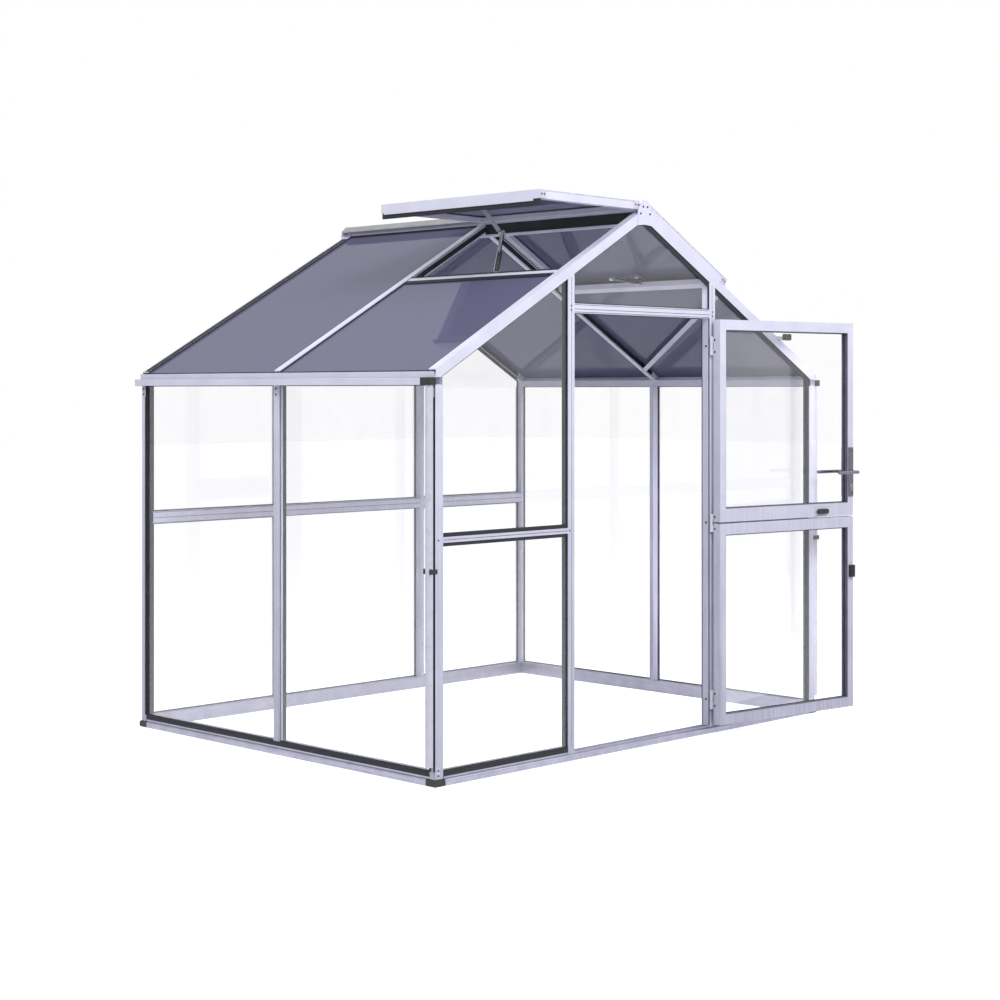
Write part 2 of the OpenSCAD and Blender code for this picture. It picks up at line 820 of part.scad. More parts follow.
module lower_leaf_latch() {
    latch_h = 56;
    latch_w = 28;
    color("#202022") swung() translate([-leaf_half + 3, leaf_t + seat_gap / 3, latch_z - latch_h / 2])
        cube([latch_w, 16, latch_h]);
}

module upper_leaf_frame() {
    color("whitesmoke") swung() difference() {
        leaf_frame(upper_z0, upper_z1, upper_low_h, upper_top_h);
        translate([lever_x, -1, lever_z]) rotate([-90, 0, 0])
            cylinder(h = leaf_t + 2, r = spindle_r + spindle_clear);
    }
}

module upper_leaf_glass() {
    color("white", 0.3) swung() leaf_pane(upper_z0 + upper_low_h, upper_z1 - upper_top_h);
}

module upper_leaf_hinges() {
    step = knuckle_h + 0.5;
    color("lightgray") swung() {
        for (side = [-1, 1])
            leaf_hinge(top_hinge_z + side * step, top_hinge_z - step - knuckle_h / 2,
                top_hinge_z + step + knuckle_h / 2);
        leaf_hinge(split_z + step, upper_z0 + 2, split_z + step + knuckle_h);
    }
}

module lock_plates() {
    color("#c8c8d0") swung() for (y = [-plate_t - seat_gap / 3, leaf_t + seat_gap / 3])
        difference() {
            translate([lever_x - plate_w / 2, y, lever_z - plate_h / 2]) cube([plate_w, plate_t, plate_h]);
            translate([lever_x, y - 1, lever_z]) rotate([-90, 0, 0])
                cylinder(h = plate_t + 2, r = spindle_r + spindle_clear);
        }
}

// One lever: neck square to the leaf and an arm towards the hinges, drawn from the leaf's face
module lever() {
    neck = lever_out - plate_t - 1;
    translate([lever_x, plate_t + 1, lever_z]) rotate([-90, 0, 0]) cylinder(h = neck, r = lever_r);
    translate([lever_x, lever_out, lever_z]) sphere(lever_r);
    translate([lever_x, lever_out, lever_z]) rotate([0, 90, 0]) cylinder(h = lever_len, r = lever_r);
    translate([lever_x + lever_len, lever_out, lever_z]) sphere(lever_r);
}

module lever_handles() {
    color("#c8c8d0") swung() {
        translate([0, leaf_t, 0]) lever();
        mirror([0, 1, 0]) lever();
        translate([lever_x, -plate_t - 2, lever_z]) rotate([-90, 0, 0])
            cylinder(h = leaf_t + 2 * plate_t + 4, r = spindle_r);
    }
}

module turn_button() {
    z = split_z + button_up;
    color("#202022") swung() translate([button_x, leaf_t + seat_gap / 3, z]) rotate([-90, 0, 0]) {
        cylinder(h = button_off + 1, r = 8);
        translate([0, 0, button_off]) linear_extrude(button_t) {
            square([button_len - button_w, button_w], center = true);
            for (side = [-1, 1])
                translate([side * (button_len - button_w) / 2, 0]) circle(button_w / 2);
        }
    }
}

front_sill();
threshold();
rear_sill();
side_sills();
corner_feet();
corner_posts();
door_posts();
rear_posts();
side_bars();
left_gutter();
right_gutter();
gutter_outlets();
gutter_ends();
downpipes();
pipe_clips();
ridge_beam();
ridge_cap();
ridge_end_plates();
gable_rafters();
mid_rafters();
head_rail();
front_rails();
rear_rails();
vent_sills();
roof_brace();
left_vent_frame();
right_vent_frame();
vent_glass();
left_vent_opener();
right_vent_opener();
front_glass();
rear_glass();
side_glass();
left_roof_glass();
right_roof_glass();
frame_hinges();
keeper_plates();
lower_leaf_frame();
lower_leaf_glass();
lower_leaf_hinges();
lower_leaf_latch();
upper_leaf_frame();
upper_leaf_glass();
upper_leaf_hinges();
lock_plates();
lever_handles();
turn_button();
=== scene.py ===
import json
import math

import bmesh
import bpy
import numpy as np
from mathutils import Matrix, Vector


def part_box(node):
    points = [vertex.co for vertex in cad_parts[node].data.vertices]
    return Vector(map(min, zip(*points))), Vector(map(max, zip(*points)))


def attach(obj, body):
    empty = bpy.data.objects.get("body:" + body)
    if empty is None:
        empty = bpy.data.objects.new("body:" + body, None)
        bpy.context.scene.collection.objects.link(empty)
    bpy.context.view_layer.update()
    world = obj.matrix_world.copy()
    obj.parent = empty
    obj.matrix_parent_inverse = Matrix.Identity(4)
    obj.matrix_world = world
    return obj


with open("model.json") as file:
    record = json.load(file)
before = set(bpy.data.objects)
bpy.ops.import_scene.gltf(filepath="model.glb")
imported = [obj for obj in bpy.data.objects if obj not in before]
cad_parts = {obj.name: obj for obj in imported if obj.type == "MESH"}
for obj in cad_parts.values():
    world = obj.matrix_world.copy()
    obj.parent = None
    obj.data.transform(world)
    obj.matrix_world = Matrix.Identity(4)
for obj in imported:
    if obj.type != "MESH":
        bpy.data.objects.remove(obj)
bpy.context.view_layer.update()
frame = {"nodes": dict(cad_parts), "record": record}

# ---- the construction's sizes, in millimetres, as the metal parts have them ----

MM = 0.001
HALF_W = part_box("corner_posts")[1].x / MM
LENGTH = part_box("corner_posts")[1].y / MM
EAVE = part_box("corner_posts")[1].z / MM
PITCH = math.radians(29.5)
COS_P = math.cos(PITCH)
SIN_P = math.sin(PITCH)
TAN_P = math.tan(PITCH)
BEAM_H = 32.0
RAFTER_D = 40.0
CORNER_W = 32.0
CORNER_CAP = 41.0
CAP_W = 38.0
STEM_W = 24.0
SILL_TOP = 56.0
GLASS_IN = 8.0
GLASS_OUT = 12.0
EAVE_ROOF = EAVE + BEAM_H + RAFTER_D / COS_P - CORNER_W * TAN_P
APEX = EAVE_ROOF + HALF_W * TAN_P
MID_Y = LENGTH / 2
# the two panes along a side, from y to y, and the height that runs beside them
BAYS = ((CORNER_W, MID_Y - STEM_W / 2), (MID_Y + STEM_W / 2, LENGTH - CORNER_W))
BESIDE = (SILL_TOP + 1.0, EAVE - 1.0)
POST_X = 439.0
POST_STEM = POST_X + 31.0
POST_OUT = POST_X + CAP_W
BAY_X = POST_X + CAP_W / 2
RAIL_TOP = 949.0
RAIL_LOW = 927.0
RAIL_EDGE = 4.0
RAIL_STEM = (RAIL_LOW + RAIL_EDGE, RAIL_TOP - RAIL_EDGE)
REAR_TOP = 964.0
REAR_LOW = 912.0
HEAD_LOW = 1827.0
HEAD_TOP = 1865.0
KNUCKLE_R = 7.0
HINGE = np.array([POST_X + 1.0, -KNUCKLE_R - 1.0, 0.0])
KNUCKLE_STEP = 26.5
DOOR_OPEN = math.radians(173.0)
LEAF_HALF = 432.5
LEAF_T = 40.0
STILE_W = 36.0
LOWER_Z = (40.0, 924.0)
UPPER_Z = (930.0, 1821.0)
LEVER_X = -LEAF_HALF + STILE_W / 2
LEVER_Z = 1131.0
SPLIT_Z = 927.0
LATCH_Z = 671.0
BUTTON_X = -LEAF_HALF / 2
HINGE_ZS = (149.0, SPLIT_Z, 1705.0)
PLATE_T = 4.0
VENT_OPEN = math.radians(30.0)
VENT_UP = 21.0
VENT_HINGE = (17.0, APEX + VENT_UP)
VENT_START = 11.0
VENT_LEN = 625.0
VENT_RAIL = 38.0
VENT_DEEP = 37.0
VENT_SEAT = 1.0
VENT_LIP = 8.0
VENT_LIP_T = 5.0
VENT_OVER = 36.0
VENT_LOW = VENT_SEAT - (VENT_HINGE[0] * SIN_P + VENT_UP * COS_P)
VENT_Y = (4.0, MID_Y - 4.0)
VENT_SILL_W = 30.0
VENT_SILL_X = VENT_HINGE[0] + (VENT_LEN - VENT_LIP_T - VENT_OVER) * COS_P
VENT_SILL_X += (VENT_LOW - VENT_LIP) * SIN_P - VENT_SILL_W - 1.0
OPENER_Y = 440.0
PIPE_X = HALF_W + 17.5
PIPE_Y = 15.5
PIPE_R = 15.5
CLIP_Z = 820.0


def roof_z(x):
    """Height of the rafters' top plane at x."""
    return EAVE_ROOF + (HALF_W - abs(x)) * TAN_P


def rafter_under(x):
    """Height of the rafters' underside at x."""
    return roof_z(x) - RAFTER_D / COS_P


# ---- frames: where a local point (a, b, c) lies in the house ----


class Frame:
    """A place: origin plus a, b and c times three unit vectors."""

    def __init__(self, origin, a, b, c):
        self.origin = np.array(origin, float)
        self.axes = np.array([a, b, c], float)

    def put(self, points):
        return self.origin + np.asarray(points, float) @ self.axes


def turned_about_hinge(points):
    """Door points drawn closed, turned by the standing angle about the hinge axis."""
    c, s = math.cos(DOOR_OPEN), math.sin(DOOR_OPEN)
    turn = np.array([[c, s, 0], [-s, c, 0], [0, 0, 1]])
    return HINGE + (np.asarray(points, float) - HINGE) @ turn


FRONT = Frame((0, 0, 0), (1, 0, 0), (0, 1, 0), (0, 0, 1))
REAR = Frame((0, LENGTH, 0), (1, 0, 0), (0, -1, 0), (0, 0, 1))
LEFT = Frame((-HALF_W, 0, 0), (0, 1, 0), (1, 0, 0), (0, 0, 1))
RIGHT = Frame((HALF_W, 0, 0), (0, 1, 0), (-1, 0, 0), (0, 0, 1))
RIGHT_ROOF = Frame((0, 0, APEX), (COS_P, 0, -SIN_P), (0, 1, 0), (SIN_P, 0, COS_P))
LEFT_ROOF = Frame((0, 0, APEX), (-COS_P, 0, -SIN_P), (0, 1, 0), (-SIN_P, 0, COS_P))


def vent_frame(side, angle):
    """A vent's frame: a along the slope from its hinge, b along the ridge, c square to the slope."""
    lean = PITCH - angle
    a = (side * math.cos(lean), 0, -math.sin(lean))
    c = (side * math.sin(lean), 0, math.cos(lean))
    return Frame((side * VENT_HINGE[0], 0, VENT_HINGE[1]), a, (0, 1, 0), c)


LEFT_VENT = vent_frame(-1, VENT_OPEN)
RIGHT_VENT = vent_frame(1, 0.0)

# ---- surfaces ----


def quads(rows, cols, wrap_rows, wrap_cols):
    """Faces of a grid of rows by cols points, which may close on itself either way."""
    r = np.arange(rows if wrap_rows else rows - 1)
    c = np.arange(cols if wrap_cols else cols - 1)
    r, c = (m.ravel() for m in np.meshgrid(r, c, indexing="ij"))
    r2, c2 = (r + 1) % rows, (c + 1) % cols
    return np.stack([r * cols + c, r * cols + c2, r2 * cols + c2, r2 * cols + c], 1).tolist()


def tube(rings, closed=False):
    """A surface through rings of points: closed on itself, or with a flat cap at each end."""
    rings = np.asarray(rings, float)
    n, k = rings.shape[:2]
    faces = quads(n, k, closed, True)
    if not closed:
        faces.append(list(range(k))[::-1])
        faces.append(list(range((n - 1) * k, n * k)))
    return rings.reshape(-1, 3), faces


def bar(place, section, start, end, run="a"):
    """A section carried along a place's axis a, b or c from start to end: its points give the other two."""
    section = np.asarray(section, float)
    points, faces = tube([np.insert(section, "abc".index(run), spot, axis=1) for spot in (start, end)])
    return place.put(points), faces


def along(profile, start, end, across, up):
    """A profile (p, q) carried straight from start to end: point = path + p * across + q * up."""
    path = np.array([start, end], float)
    profile = np.asarray(profile, float)
    offset = profile[:, :1] * np.array(across, float) + profile[:, 1:] * np.array(up, float)
    return tube(path[:, None, :] + offset[None])


def turned(profile, centre, axis, count=16):
    """A profile (radius, height) turned round an axis: centre + h * axis + r * (cos t * u + sin t * v)."""
    axis = np.array(axis, float) / np.linalg.norm(axis)
    helper = (0, 0, 1) if abs(axis[2]) < 0.9 else (1, 0, 0)
    u = np.cross(helper, axis)
    u /= np.linalg.norm(u)
    v = np.cross(axis, u)
    t = np.linspace(0, 2 * math.pi, count, endpoint=False)
    ring = np.cos(t)[:, None] * u + np.sin(t)[:, None] * v
    profile = np.asarray(profile, float)
    rings = np.array(centre, float) + profile[:, None, 1:] * axis + profile[:, None, :1] * ring[None]
    return tube(rings)


def pad(outline, levels, place):
    """A flat piece from a convex outline: at each level (inset, height) the outline shrinks by inset.

    Each point moves square to the outline, found from its two neighbours.
    """
    outline = np.asarray(outline, float)
    tangent = np.roll(outline, -1, 0) - np.roll(outline, 1, 0)
    tangent /= np.linalg.norm(tangent, axis=1, keepdims=True)
    inward = np.stack([-tangent[:, 1], tangent[:, 0]], 1)
    rings = [
        np.column_stack([outline + inset * inward, np.full(len(outline), height)]) for inset, height in levels
    ]
    points, faces = tube(rings)
    return place(points), faces


def round_box(half_a, half_b, radius, steps=3):
    """Outline of a rectangle with round corners, counter-clockwise."""
    t = np.linspace(0, math.pi / 2, steps)
    arc = np.stack([np.cos(t), np.sin(t)], 1) * radius
    turns = [(1, 1, 0), (-1, 1, 1), (-1, -1, 2), (1, -1, 3)]
    parts = []
    for sx, sy, k in turns:
        c, s = math.cos(k * math.pi / 2), math.sin(k * math.pi / 2)
        spun = arc @ np.array([[c, s], [-s, c]])
        parts.append(spun + [sx * (half_a - radius), sy * (half_b - radius)])
    return np.concatenate(parts)


def helix(centre0, centre1, radius, wire, turns, steps=14):
    """A coil spring of round wire: its middle runs at axis point + radius * (cos t * u + sin t * v)."""
    start, end = np.array(centre0, float), np.array(centre1, float)
    axis = (end - start) / np.linalg.norm(end - start)
    u = np.cross((0, 1, 0), axis)
    u /= np.linalg.norm(u)
    v = np.cross(axis, u)
    t = np.linspace(0, turns * 2 * math.pi, int(turns * steps))
    out = np.cos(t)[:, None] * u + np.sin(t)[:, None] * v
    middle = start + (end - start) * (t / t[-1])[:, None] + radius * out
    w = np.linspace(0, 2 * math.pi, 6, endpoint=False)
    around = np.cos(w)[None, :, None] * out[:, None] + np.sin(w)[None, :, None] * axis
    return tube(middle[:, None] + wire * around)


def joined(shapes):
    """Several surfaces as one list of points and one list of faces."""
    points, faces, base = [], [], 0
    for pts, fcs in shapes:
        points.append(np.asarray(pts, float))
        faces += [[i + base for i in face] for face in fcs]
        base += len(pts)
    return np.concatenate(points), faces


def linked(name, points, faces, finish):
    """A new object in the scene, from points in metres and faces."""
    mesh = bpy.data.meshes.new(name)
    mesh.from_pydata(points, [], faces)
    mesh.materials.append(finish)
    obj = bpy.data.objects.new(name, mesh)
    bpy.context.scene.collection.objects.link(obj)
    return obj


def piece(name, shapes, finish, body="house", smooth=False):
    """Makes one object from surfaces in millimetres, with its normals pointing out, and rides it on a body.

    A piece of any other body than the house is drawn on the closed door, then turned to where that stands.
    """
    points, faces = joined(shapes)
    if body != "house":
        points = turned_about_hinge(points)
    obj = linked(name, (points * MM).tolist(), faces, finish)
    mesh = obj.data
    mesh.validate()
    face_out(mesh)
    mesh.polygons.foreach_set("use_smooth", np.full(len(mesh.polygons), smooth))
    if smooth:
        mesh.set_sharp_from_angle(angle=math.radians(35))
    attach(obj, body)


def rubber(name, shapes):
    """Black rubber on the house, and black sheets of painted shade."""
    piece(name, shapes, epdm_and_painted_shade)


def screws(name, heads, body="house"):
    """Dark screws and bolts."""
    piece(name, heads, dark_steel, body)


def face_out(mesh):
    """Turns every closed shell's faces outwards."""
    work = bmesh.new()
    work.from_mesh(mesh)
    bmesh.ops.recalc_face_normals(work, faces=work.faces)
    work.to_mesh(mesh)
    work.free()


# ---- materials ----


def linear(code):
    """An sRGB hex colour as linear RGBA."""
    rgb = np.array([int(code[i : i + 2], 16) for i in (1, 3, 5)]) / 255
    lin = np.where(rgb <= 0.04045, rgb / 12.92, ((rgb + 0.055) / 1.055) ** 2.4)
    return (*lin.tolist(), 1.0)


def add(tree, kind, inputs=None, **settings):
    """Adds a node: settings are its properties, inputs its sockets' values or the sockets that feed them."""
    node = tree.nodes.new("ShaderNode" + kind)
    for key, value in settings.items():
        setattr(node, key, value)
    for key, value in (inputs or {}).items():
        if isinstance(value, bpy.types.NodeSocket):
            tree.links.new(value, node.inputs[key])
        else:
            node.inputs[key].default_value = value
    return node


def started(name):
    """A new material's tree with its surface output and object coordinates."""
    material = bpy.data.materials.new(name)
    material.use_nodes = True
    tree = material.node_tree
    tree.nodes.clear()
    output = add(tree, "OutputMaterial")
    coords = add(tree, "TexCoord").outputs["Object"]
    return material, tree, output, coords


def ramp(tree, factor, low, high, first, last):
    """A colour that goes from the hex code first, at low, to last, at high."""
    node = add(tree, "ValToRGB", {"Fac": factor})
    stops = node.color_ramp.elements
    stops[0].position, stops[1].position = low, high
    stops[0].color, stops[1].color = linear(first), linear(last)
    return node.outputs["Color"]


def noise(tree, coords, size, detail):
    """Soft noise whose blobs are size metres across."""
    return add(tree, "TexNoise", {"Vector": coords, "Scale": 1 / size, "Detail": detail}).outputs["Fac"]


def lines(tree, coords, count, detail):
    """Noise drawn out into lines: count is how many there are in a metre across x, y and z."""
    stretch = add(tree, "Mapping", {"Vector": coords, "Scale": count}).outputs["Vector"]
    return noise(tree, stretch, 1.0, detail)


def spread(tree, value, low, high):
    """A value of 0 to 1, spread from low to high."""
    return add(tree, "MapRange", {"Value": value, "To Min": low, "To Max": high}).outputs["Result"]


def relief(tree, height, strength, depth):
    """Bump from a height, depth metres deep."""
    return add(tree, "Bump", {"Height": height, "Strength": strength, "Distance": depth}).outputs["Normal"]


def product(tree, first, second):
    """Two values multiplied."""
    return add(tree, "Math", {0: first, 1: second}, operation="MULTIPLY").outputs["Value"]


def surfaced(material, tree, output, base, rough, bump, extra):
    """Gives a started material its surface; extra holds what only some surfaces have."""
    shader = add(tree, "BsdfPrincipled", {"Base Color": base, "Roughness": rough, "Normal": bump, **extra})
    tree.links.new(shader.outputs["BSDF"], output.inputs["Surface"])
    return material


def powder_coat(name, colour, shade, dust):
    """Satin polyester powder coat on aluminium.

    The eye gets a soft broad highlight, a fine orange peel and a slight cloudiness in the gloss. Towards
    the ground a thin film darkens the colour more and more, and runs down in streaks: painted shade
    for the lower parts, streaked like dust.
    """
    material, tree, output, coords = started(name)
    # orange peel is about 2 mm across; drawn at 5 mm so that it shows
    peel = noise(tree, coords, 0.005, 2.0)
    # clouds of gloss about 120 mm across
    cloud = noise(tree, coords, 0.12, 3.0)
    # streaks of that painted shade, about 9 mm wide and half a metre long
    streak = lines(tree, coords, (110.0, 110.0, 2.0), 4.0)
    # painted shade for the lower parts: full at the ground, gone at 1.7 m; dust is its colour
    height = add(tree, "SeparateXYZ", {"Vector": coords}).outputs["Z"]
    low = add(tree, "MapRange", {"Value": height, "From Min": 1.7, "From Max": 0.0}).outputs["Result"]
    base = ramp(tree, cloud, 0.3, 0.7, shade, colour)
    film = product(tree, low, streak)
    tint = add(tree, "Mix", {"Factor": film, "A": base, "B": linear(dust)}, data_type="RGBA")
    rough = spread(tree, cloud, 0.30, 0.44)
    bump = relief(tree, peel, 0.25, 0.0002)
    return surfaced(material, tree, output, tint.outputs["Result"], rough, bump, {"IOR": 1.5})


def die_drawn(name, colour, shade, count, rough):
    """Mill-finish aluminium, extruded: fine die lines run along it, with dull patches of oxide.

    count is how many lines a metre there are across x, y and z, and near 0 along the drawing direction.
    """
    material, tree, output, coords = started(name)
    line = lines(tree, coords, count, 3.0)
    # oxide bloom about 60 mm across
    bloom = noise(tree, coords, 0.06, 5.0)
    base = ramp(tree, product(tree, line, bloom), 0.12, 0.4, shade, colour)
    dull = spread(tree, bloom, rough - 0.08, rough + 0.12)
    bump = relief(tree, line, 0.2, 0.0001)
    return surfaced(material, tree, output, base, dull, bump, {"Metallic": 1.0})


def moulded(name, colour, shade, rough, grain, depth, coat=0.0):
    """Moulded or extruded plastic and rubber: one body colour, a fine grain and small changes in gloss.

    grain is the size of its texture in metres.
    """
    material, tree, output, coords = started(name)
    # handling marks and weathering about 40 mm across
    worn = noise(tree, coords, 0.04, 4.0)
    base = ramp(tree, worn, 0.3, 0.7, shade, colour)
    gloss = spread(tree, worn, rough - 0.06, rough + 0.08)
    bump = relief(tree, noise(tree, coords, grain, 3.0), 0.3, depth)
    return surfaced(material, tree, output, base, gloss, bump, {"IOR": 1.5, "Coat Weight": coat})


def brushed(name, colour, shade, count, rough):
    """Brushed or zinc-plated steel: short scratches along one way, and a smear of handling."""
    material, tree, output, coords = started(name)
    scratch = lines(tree, coords, count, 5.0)
    # finger smears about 15 mm across
    smear = noise(tree, coords, 0.015, 2.0)
    base = ramp(tree, scratch, 0.3, 0.7, shade, colour)
    gloss = spread(tree, smear, rough - 0.06, rough + 0.1)
    bump = relief(tree, scratch, 0.25, 0.0001)
    return surfaced(material, tree, output, base, gloss, bump, {"Metallic": 1.0})


def toughened_glass(name, colour, shade, ripple, dust="#ffffff", share=0.0, mirror="#ffffff"):
    """Toughened float glass: clear sight with mirrored sky, a slight roller wave, and a faint film of rain.

    Lamps shine through it, as they do through a real pane. share is how much of it dull dust covers.
    """
    material, tree, output, coords = started(name)
    # roller wave about 250 mm long
    wave = noise(tree, coords, 0.25, 0.0)
    # dried rain film about 80 mm across
    tint = ramp(tree, noise(tree, coords, 0.08, 6.0), 0.35, 0.75, colour, shade)
    glass = {
        "Base Color": tint,
        "Roughness": 0.0,
        "IOR": 1.5,
        "Transmission Weight": 1.0,
        "Normal": relief(tree, wave, ripple, 0.0005),
        "Specular Tint": linear(mirror),
    }
    seen = add(tree, "BsdfPrincipled", glass)
    clear = add(tree, "BsdfTransparent", {"Color": tint})
    lamp_ray = add(tree, "LightPath").outputs["Is Shadow Ray"]
    last = add(tree, "MixShader", {0: lamp_ray, 1: seen.outputs["BSDF"], 2: clear.outputs["BSDF"]})
    if share:
        haze = add(tree, "BsdfDiffuse", {"Color": linear(dust)})
        last = add(tree, "MixShader", {0: share, 1: last.outputs["Shader"], 2: haze.outputs["BSDF"]})
    tree.links.new(last.outputs["Shader"], output.inputs["Surface"])
    return material


# frame: satin white powder coat with a faint lilac cast, and a grey-lilac painted shade towards the ground
white_coat = powder_coat("white_powder_coat", "#dedef0", "#d3d3e8", "#85859a")
# mill-finish sill: bright extruded bars, die lines every 0.6 mm, drawn at 2 mm so that they show
sill_mill = die_drawn("mill_aluminium_sill", "#b0b0c0", "#9898a9", (1.5, 1.5, 500.0), 0.36)
# ridge cover: the same metal, drawn along the ridge
ridge_mill = die_drawn("mill_aluminium_ridge", "#b4b4b8", "#98989c", (500.0, 1.5, 500.0), 0.4)
# downpipe: extruded white PVC, smooth, with a soft gloss
white_pvc = moulded("white_pvc", "#cccbdb", "#c2c1d1", 0.28, 0.004, 0.0001, coat=0.15)
# fittings: black moulded polypropylene with a fine spark-eroded grain
black_pp = moulded("black_polypropylene", "#1f2023", "#17181a", 0.5, 0.0012, 0.0002)
# glazing strip: black extruded EPDM rubber, matt with a grey bloom; also the painted shade sheets
epdm_and_painted_shade = moulded("black_epdm", "#1a1b24", "#121318", 0.7, 0.0015, 0.0002)
# clear panes: 4 mm toughened, nearly colourless
clear_glass = toughened_glass("clear_toughened_glass", "#fdfdfe", "#fbfbfd", 0.004)
# roof panes: smoke-tinted toughened glass under a grey-blue film of dust that covers half of it
smoke_glass = toughened_glass("smoke_toughened_glass", "#1a1a22", "#1e1e26", 0.02, "#8080a2", 0.5, "#cfcff5")
# hinges: painted steel, satin, with a grey painted shade towards the ground
hinge_coat = powder_coat("hinge_paint", "#d9d9e6", "#cfcfdc", "#b4b4be")
# openers: dull zinc-plated steel with rolling marks
zinc = brushed("zinc_plated_steel", "#cacad4", "#9c9ca8", (60.0, 900.0, 60.0), 0.42)
# lever set: stainless steel, brushed along the levers
lever_steel = brushed("brushed_stainless_lever", "#82828e", "#5f5f6b", (40.0, 900.0, 900.0), 0.3)
# screws and bolts: stainless, turned
bolt_steel = brushed("stainless_bolts", "#a9a9b2", "#7f7f88", (300.0, 300.0, 300.0), 0.34)
# glazing beads of the leaves: grey hard PVC; the same grey is the painted shade in the bars' grooves
grey_pvc_and_groove_shade = moulded("grey_pvc_bead", "#5c5c70", "#4e4e61", 0.5, 0.003, 0.0001)
# darkened screws: black-passivated steel
dark_steel = brushed("dark_passivated_screws", "#43444c", "#2b2c33", (300.0, 300.0, 300.0), 0.42)

FINISHES = {
    "white_aluminium": white_coat,
    "sill_aluminium": sill_mill,
    "white_pipe": white_pvc,
    "black_plastic": black_pp,
    "wall_glass": clear_glass,
    "roof_glass": smoke_glass,
    "hinge_metal": hinge_coat,
    "opener_steel": zinc,
    "handle_steel": lever_steel,
}


def finish_metal_parts():
    """Gives each part of the construction the finish of its slot."""
    slots = {part["node"]: part["material_slot"] for part in frame["record"]["subparts"]}
    for node, obj in frame["nodes"].items():
        finish = ridge_mill if node == "ridge_cap" else FINISHES[slots[node]]
        for spot in obj.material_slots:
            spot.material = finish
        if not obj.material_slots:
            obj.data.materials.append(finish)


# ---- glazing strips ----

# how far the front caps and the bars stand over a pane, how much rubber shows past them, and how wide the
# bands are over and under the rails, under the left and right rafters, and at the right corner post; past
# the rubber that shows, a wider band is painted shade on the faces of the rails, rafters and post beside it
FRONT_LIP = 9.0
BAR_LIP = 7.0
POST_LIP = BAR_LIP - 1.0
SHOW = 4.0
BAND_TOP = 20.0
BAND_LOW = 18.0
BAND_ROOF = 4.0
BAND_RIGHT = 22.0
BAND_CORNER = 30.0
OUTER = [(0.0, 3.2), (0.93, 3.2), (1.0, 4.4), (1.0, 6.8), (0.94, 7.9), (0.0, 7.9)]


def strip_round(place, corners, widths, profile, plane):
    """A glazing strip round a pane: each side's width times the profile's first number, its second the depth.

    At a corner the step inwards is (n0 * (w0 - c * w1) + n1 * (w1 - c * w0)) / (1 - c * c), where n0 and
    n1 point in from the two sides, w0 and w1 are their widths, and c is n0.n1.
    """
    corners = np.asarray(corners, float)
    side = np.roll(corners, -1, 0) - corners
    side /= np.linalg.norm(side, axis=1, keepdims=True)
    n1 = np.stack([-side[:, 1], side[:, 0]], 1)
    n0 = np.roll(n1, 1, 0)
    w1 = np.asarray(widths, float)[:, None]
    w0 = np.roll(w1, 1, 0)
    c = (n0 * n1).sum(1, keepdims=True)
    step = (n0 * (w0 - c * w1) + n1 * (w1 - c * w0)) / (1 - c * c)
    profile = np.asarray(profile, float)
    flat = corners[:, None] + profile[None, :, :1] * step[:, None]
    depth = np.broadcast_to(profile[None, :, 1:], flat.shape[:2] + (1,))
    order = [0, 2, 1] if plane == "wall" else [0, 1, 2]
    rings = np.concatenate([flat, depth], 2)[:, :, order]
    points, faces = tube(rings, closed=True)
    return place.put(points), faces


def gable_panes(inner_x, rail_low, rail_top, band, corner):
    """Outlines of a gable's two right bays, counter-clockwise, and how wide the strip shows on each side."""
    x0, x1 = inner_x, HALF_W - CORNER_W
    under = [rafter_under(x) for x in (x0, x1)]
    low = [(x0, SILL_TOP), (x1, SILL_TOP), (x1, rail_low), (x0, rail_low)]
    top = [(x0, rail_top), (x1, rail_top), (x1, under[1]), (x0, under[0])]
    return [(low, [SHOW, corner, BAND_LOW, POST_LIP]), (top, [BAND_TOP, corner, band, POST_LIP])]


def mirrored(corners, widths):
    """The same outline on the other side of x = 0, still counter-clockwise."""
    back = widths[::-1]
    return [(-x, z) for x, z in corners[::-1]], back[1:] + back[:1]


def peak_pane(half, low):
    """Outline of the pane under the ridge, whose top is cut off level by the ridge beam."""
    top = APEX - 68.0
    cut = (APEX - RAFTER_D / COS_P - top) / TAN_P
    under = rafter_under(half)
    corners = [(-half, low), (half, low), (half, under), (cut, top), (-cut, top), (-half, under)]
    return corners, [SHOW, POST_LIP, BAND_RIGHT, SHOW, BAND_ROOF, POST_LIP]


def glaze_walls():
    """Black rubber strips round every wall pane, under its caps, widened at the front by painted shade."""
    shapes = []
    for place, low, top in ((FRONT, *RAIL_STEM), (REAR, REAR_LOW, REAR_TOP)):
        panes = gable_panes(POST_STEM, low, top, BAND_RIGHT, BAND_CORNER)
        panes += [mirrored(*pane) for pane in gable_panes(POST_STEM, low, top, BAND_ROOF, FRONT_LIP - 1.0)]
        if place is FRONT:
            panes.append(peak_pane(POST_X, HEAD_TOP))
        else:
            half = BAY_X - STEM_W / 2
            square = [(-half, SILL_TOP), (half, SILL_TOP), (half, REAR_LOW), (-half, REAR_LOW)]
            panes.append((square, [SHOW, POST_LIP, SHOW, POST_LIP]))
            panes.append(peak_pane(half, REAR_TOP))
        for corners, widths in panes:
            # on the front wall the strips are as wide as the bands: past the rubber they are painted shade
            shown = widths if place is FRONT else np.minimum(widths, POST_LIP)
            shapes.append(strip_round(place, corners, shown, OUTER, "wall"))
    for place in (LEFT, RIGHT):
        for y0, y1 in BAYS:
            corners = [(y0, SILL_TOP), (y1, SILL_TOP), (y1, EAVE), (y0, EAVE)]
            shapes.append(strip_round(place, corners, [SHOW, POST_LIP, 3.0, POST_LIP], OUTER, "wall"))
    rubber("wall_glazing_strips_and_painted_shade", shapes)


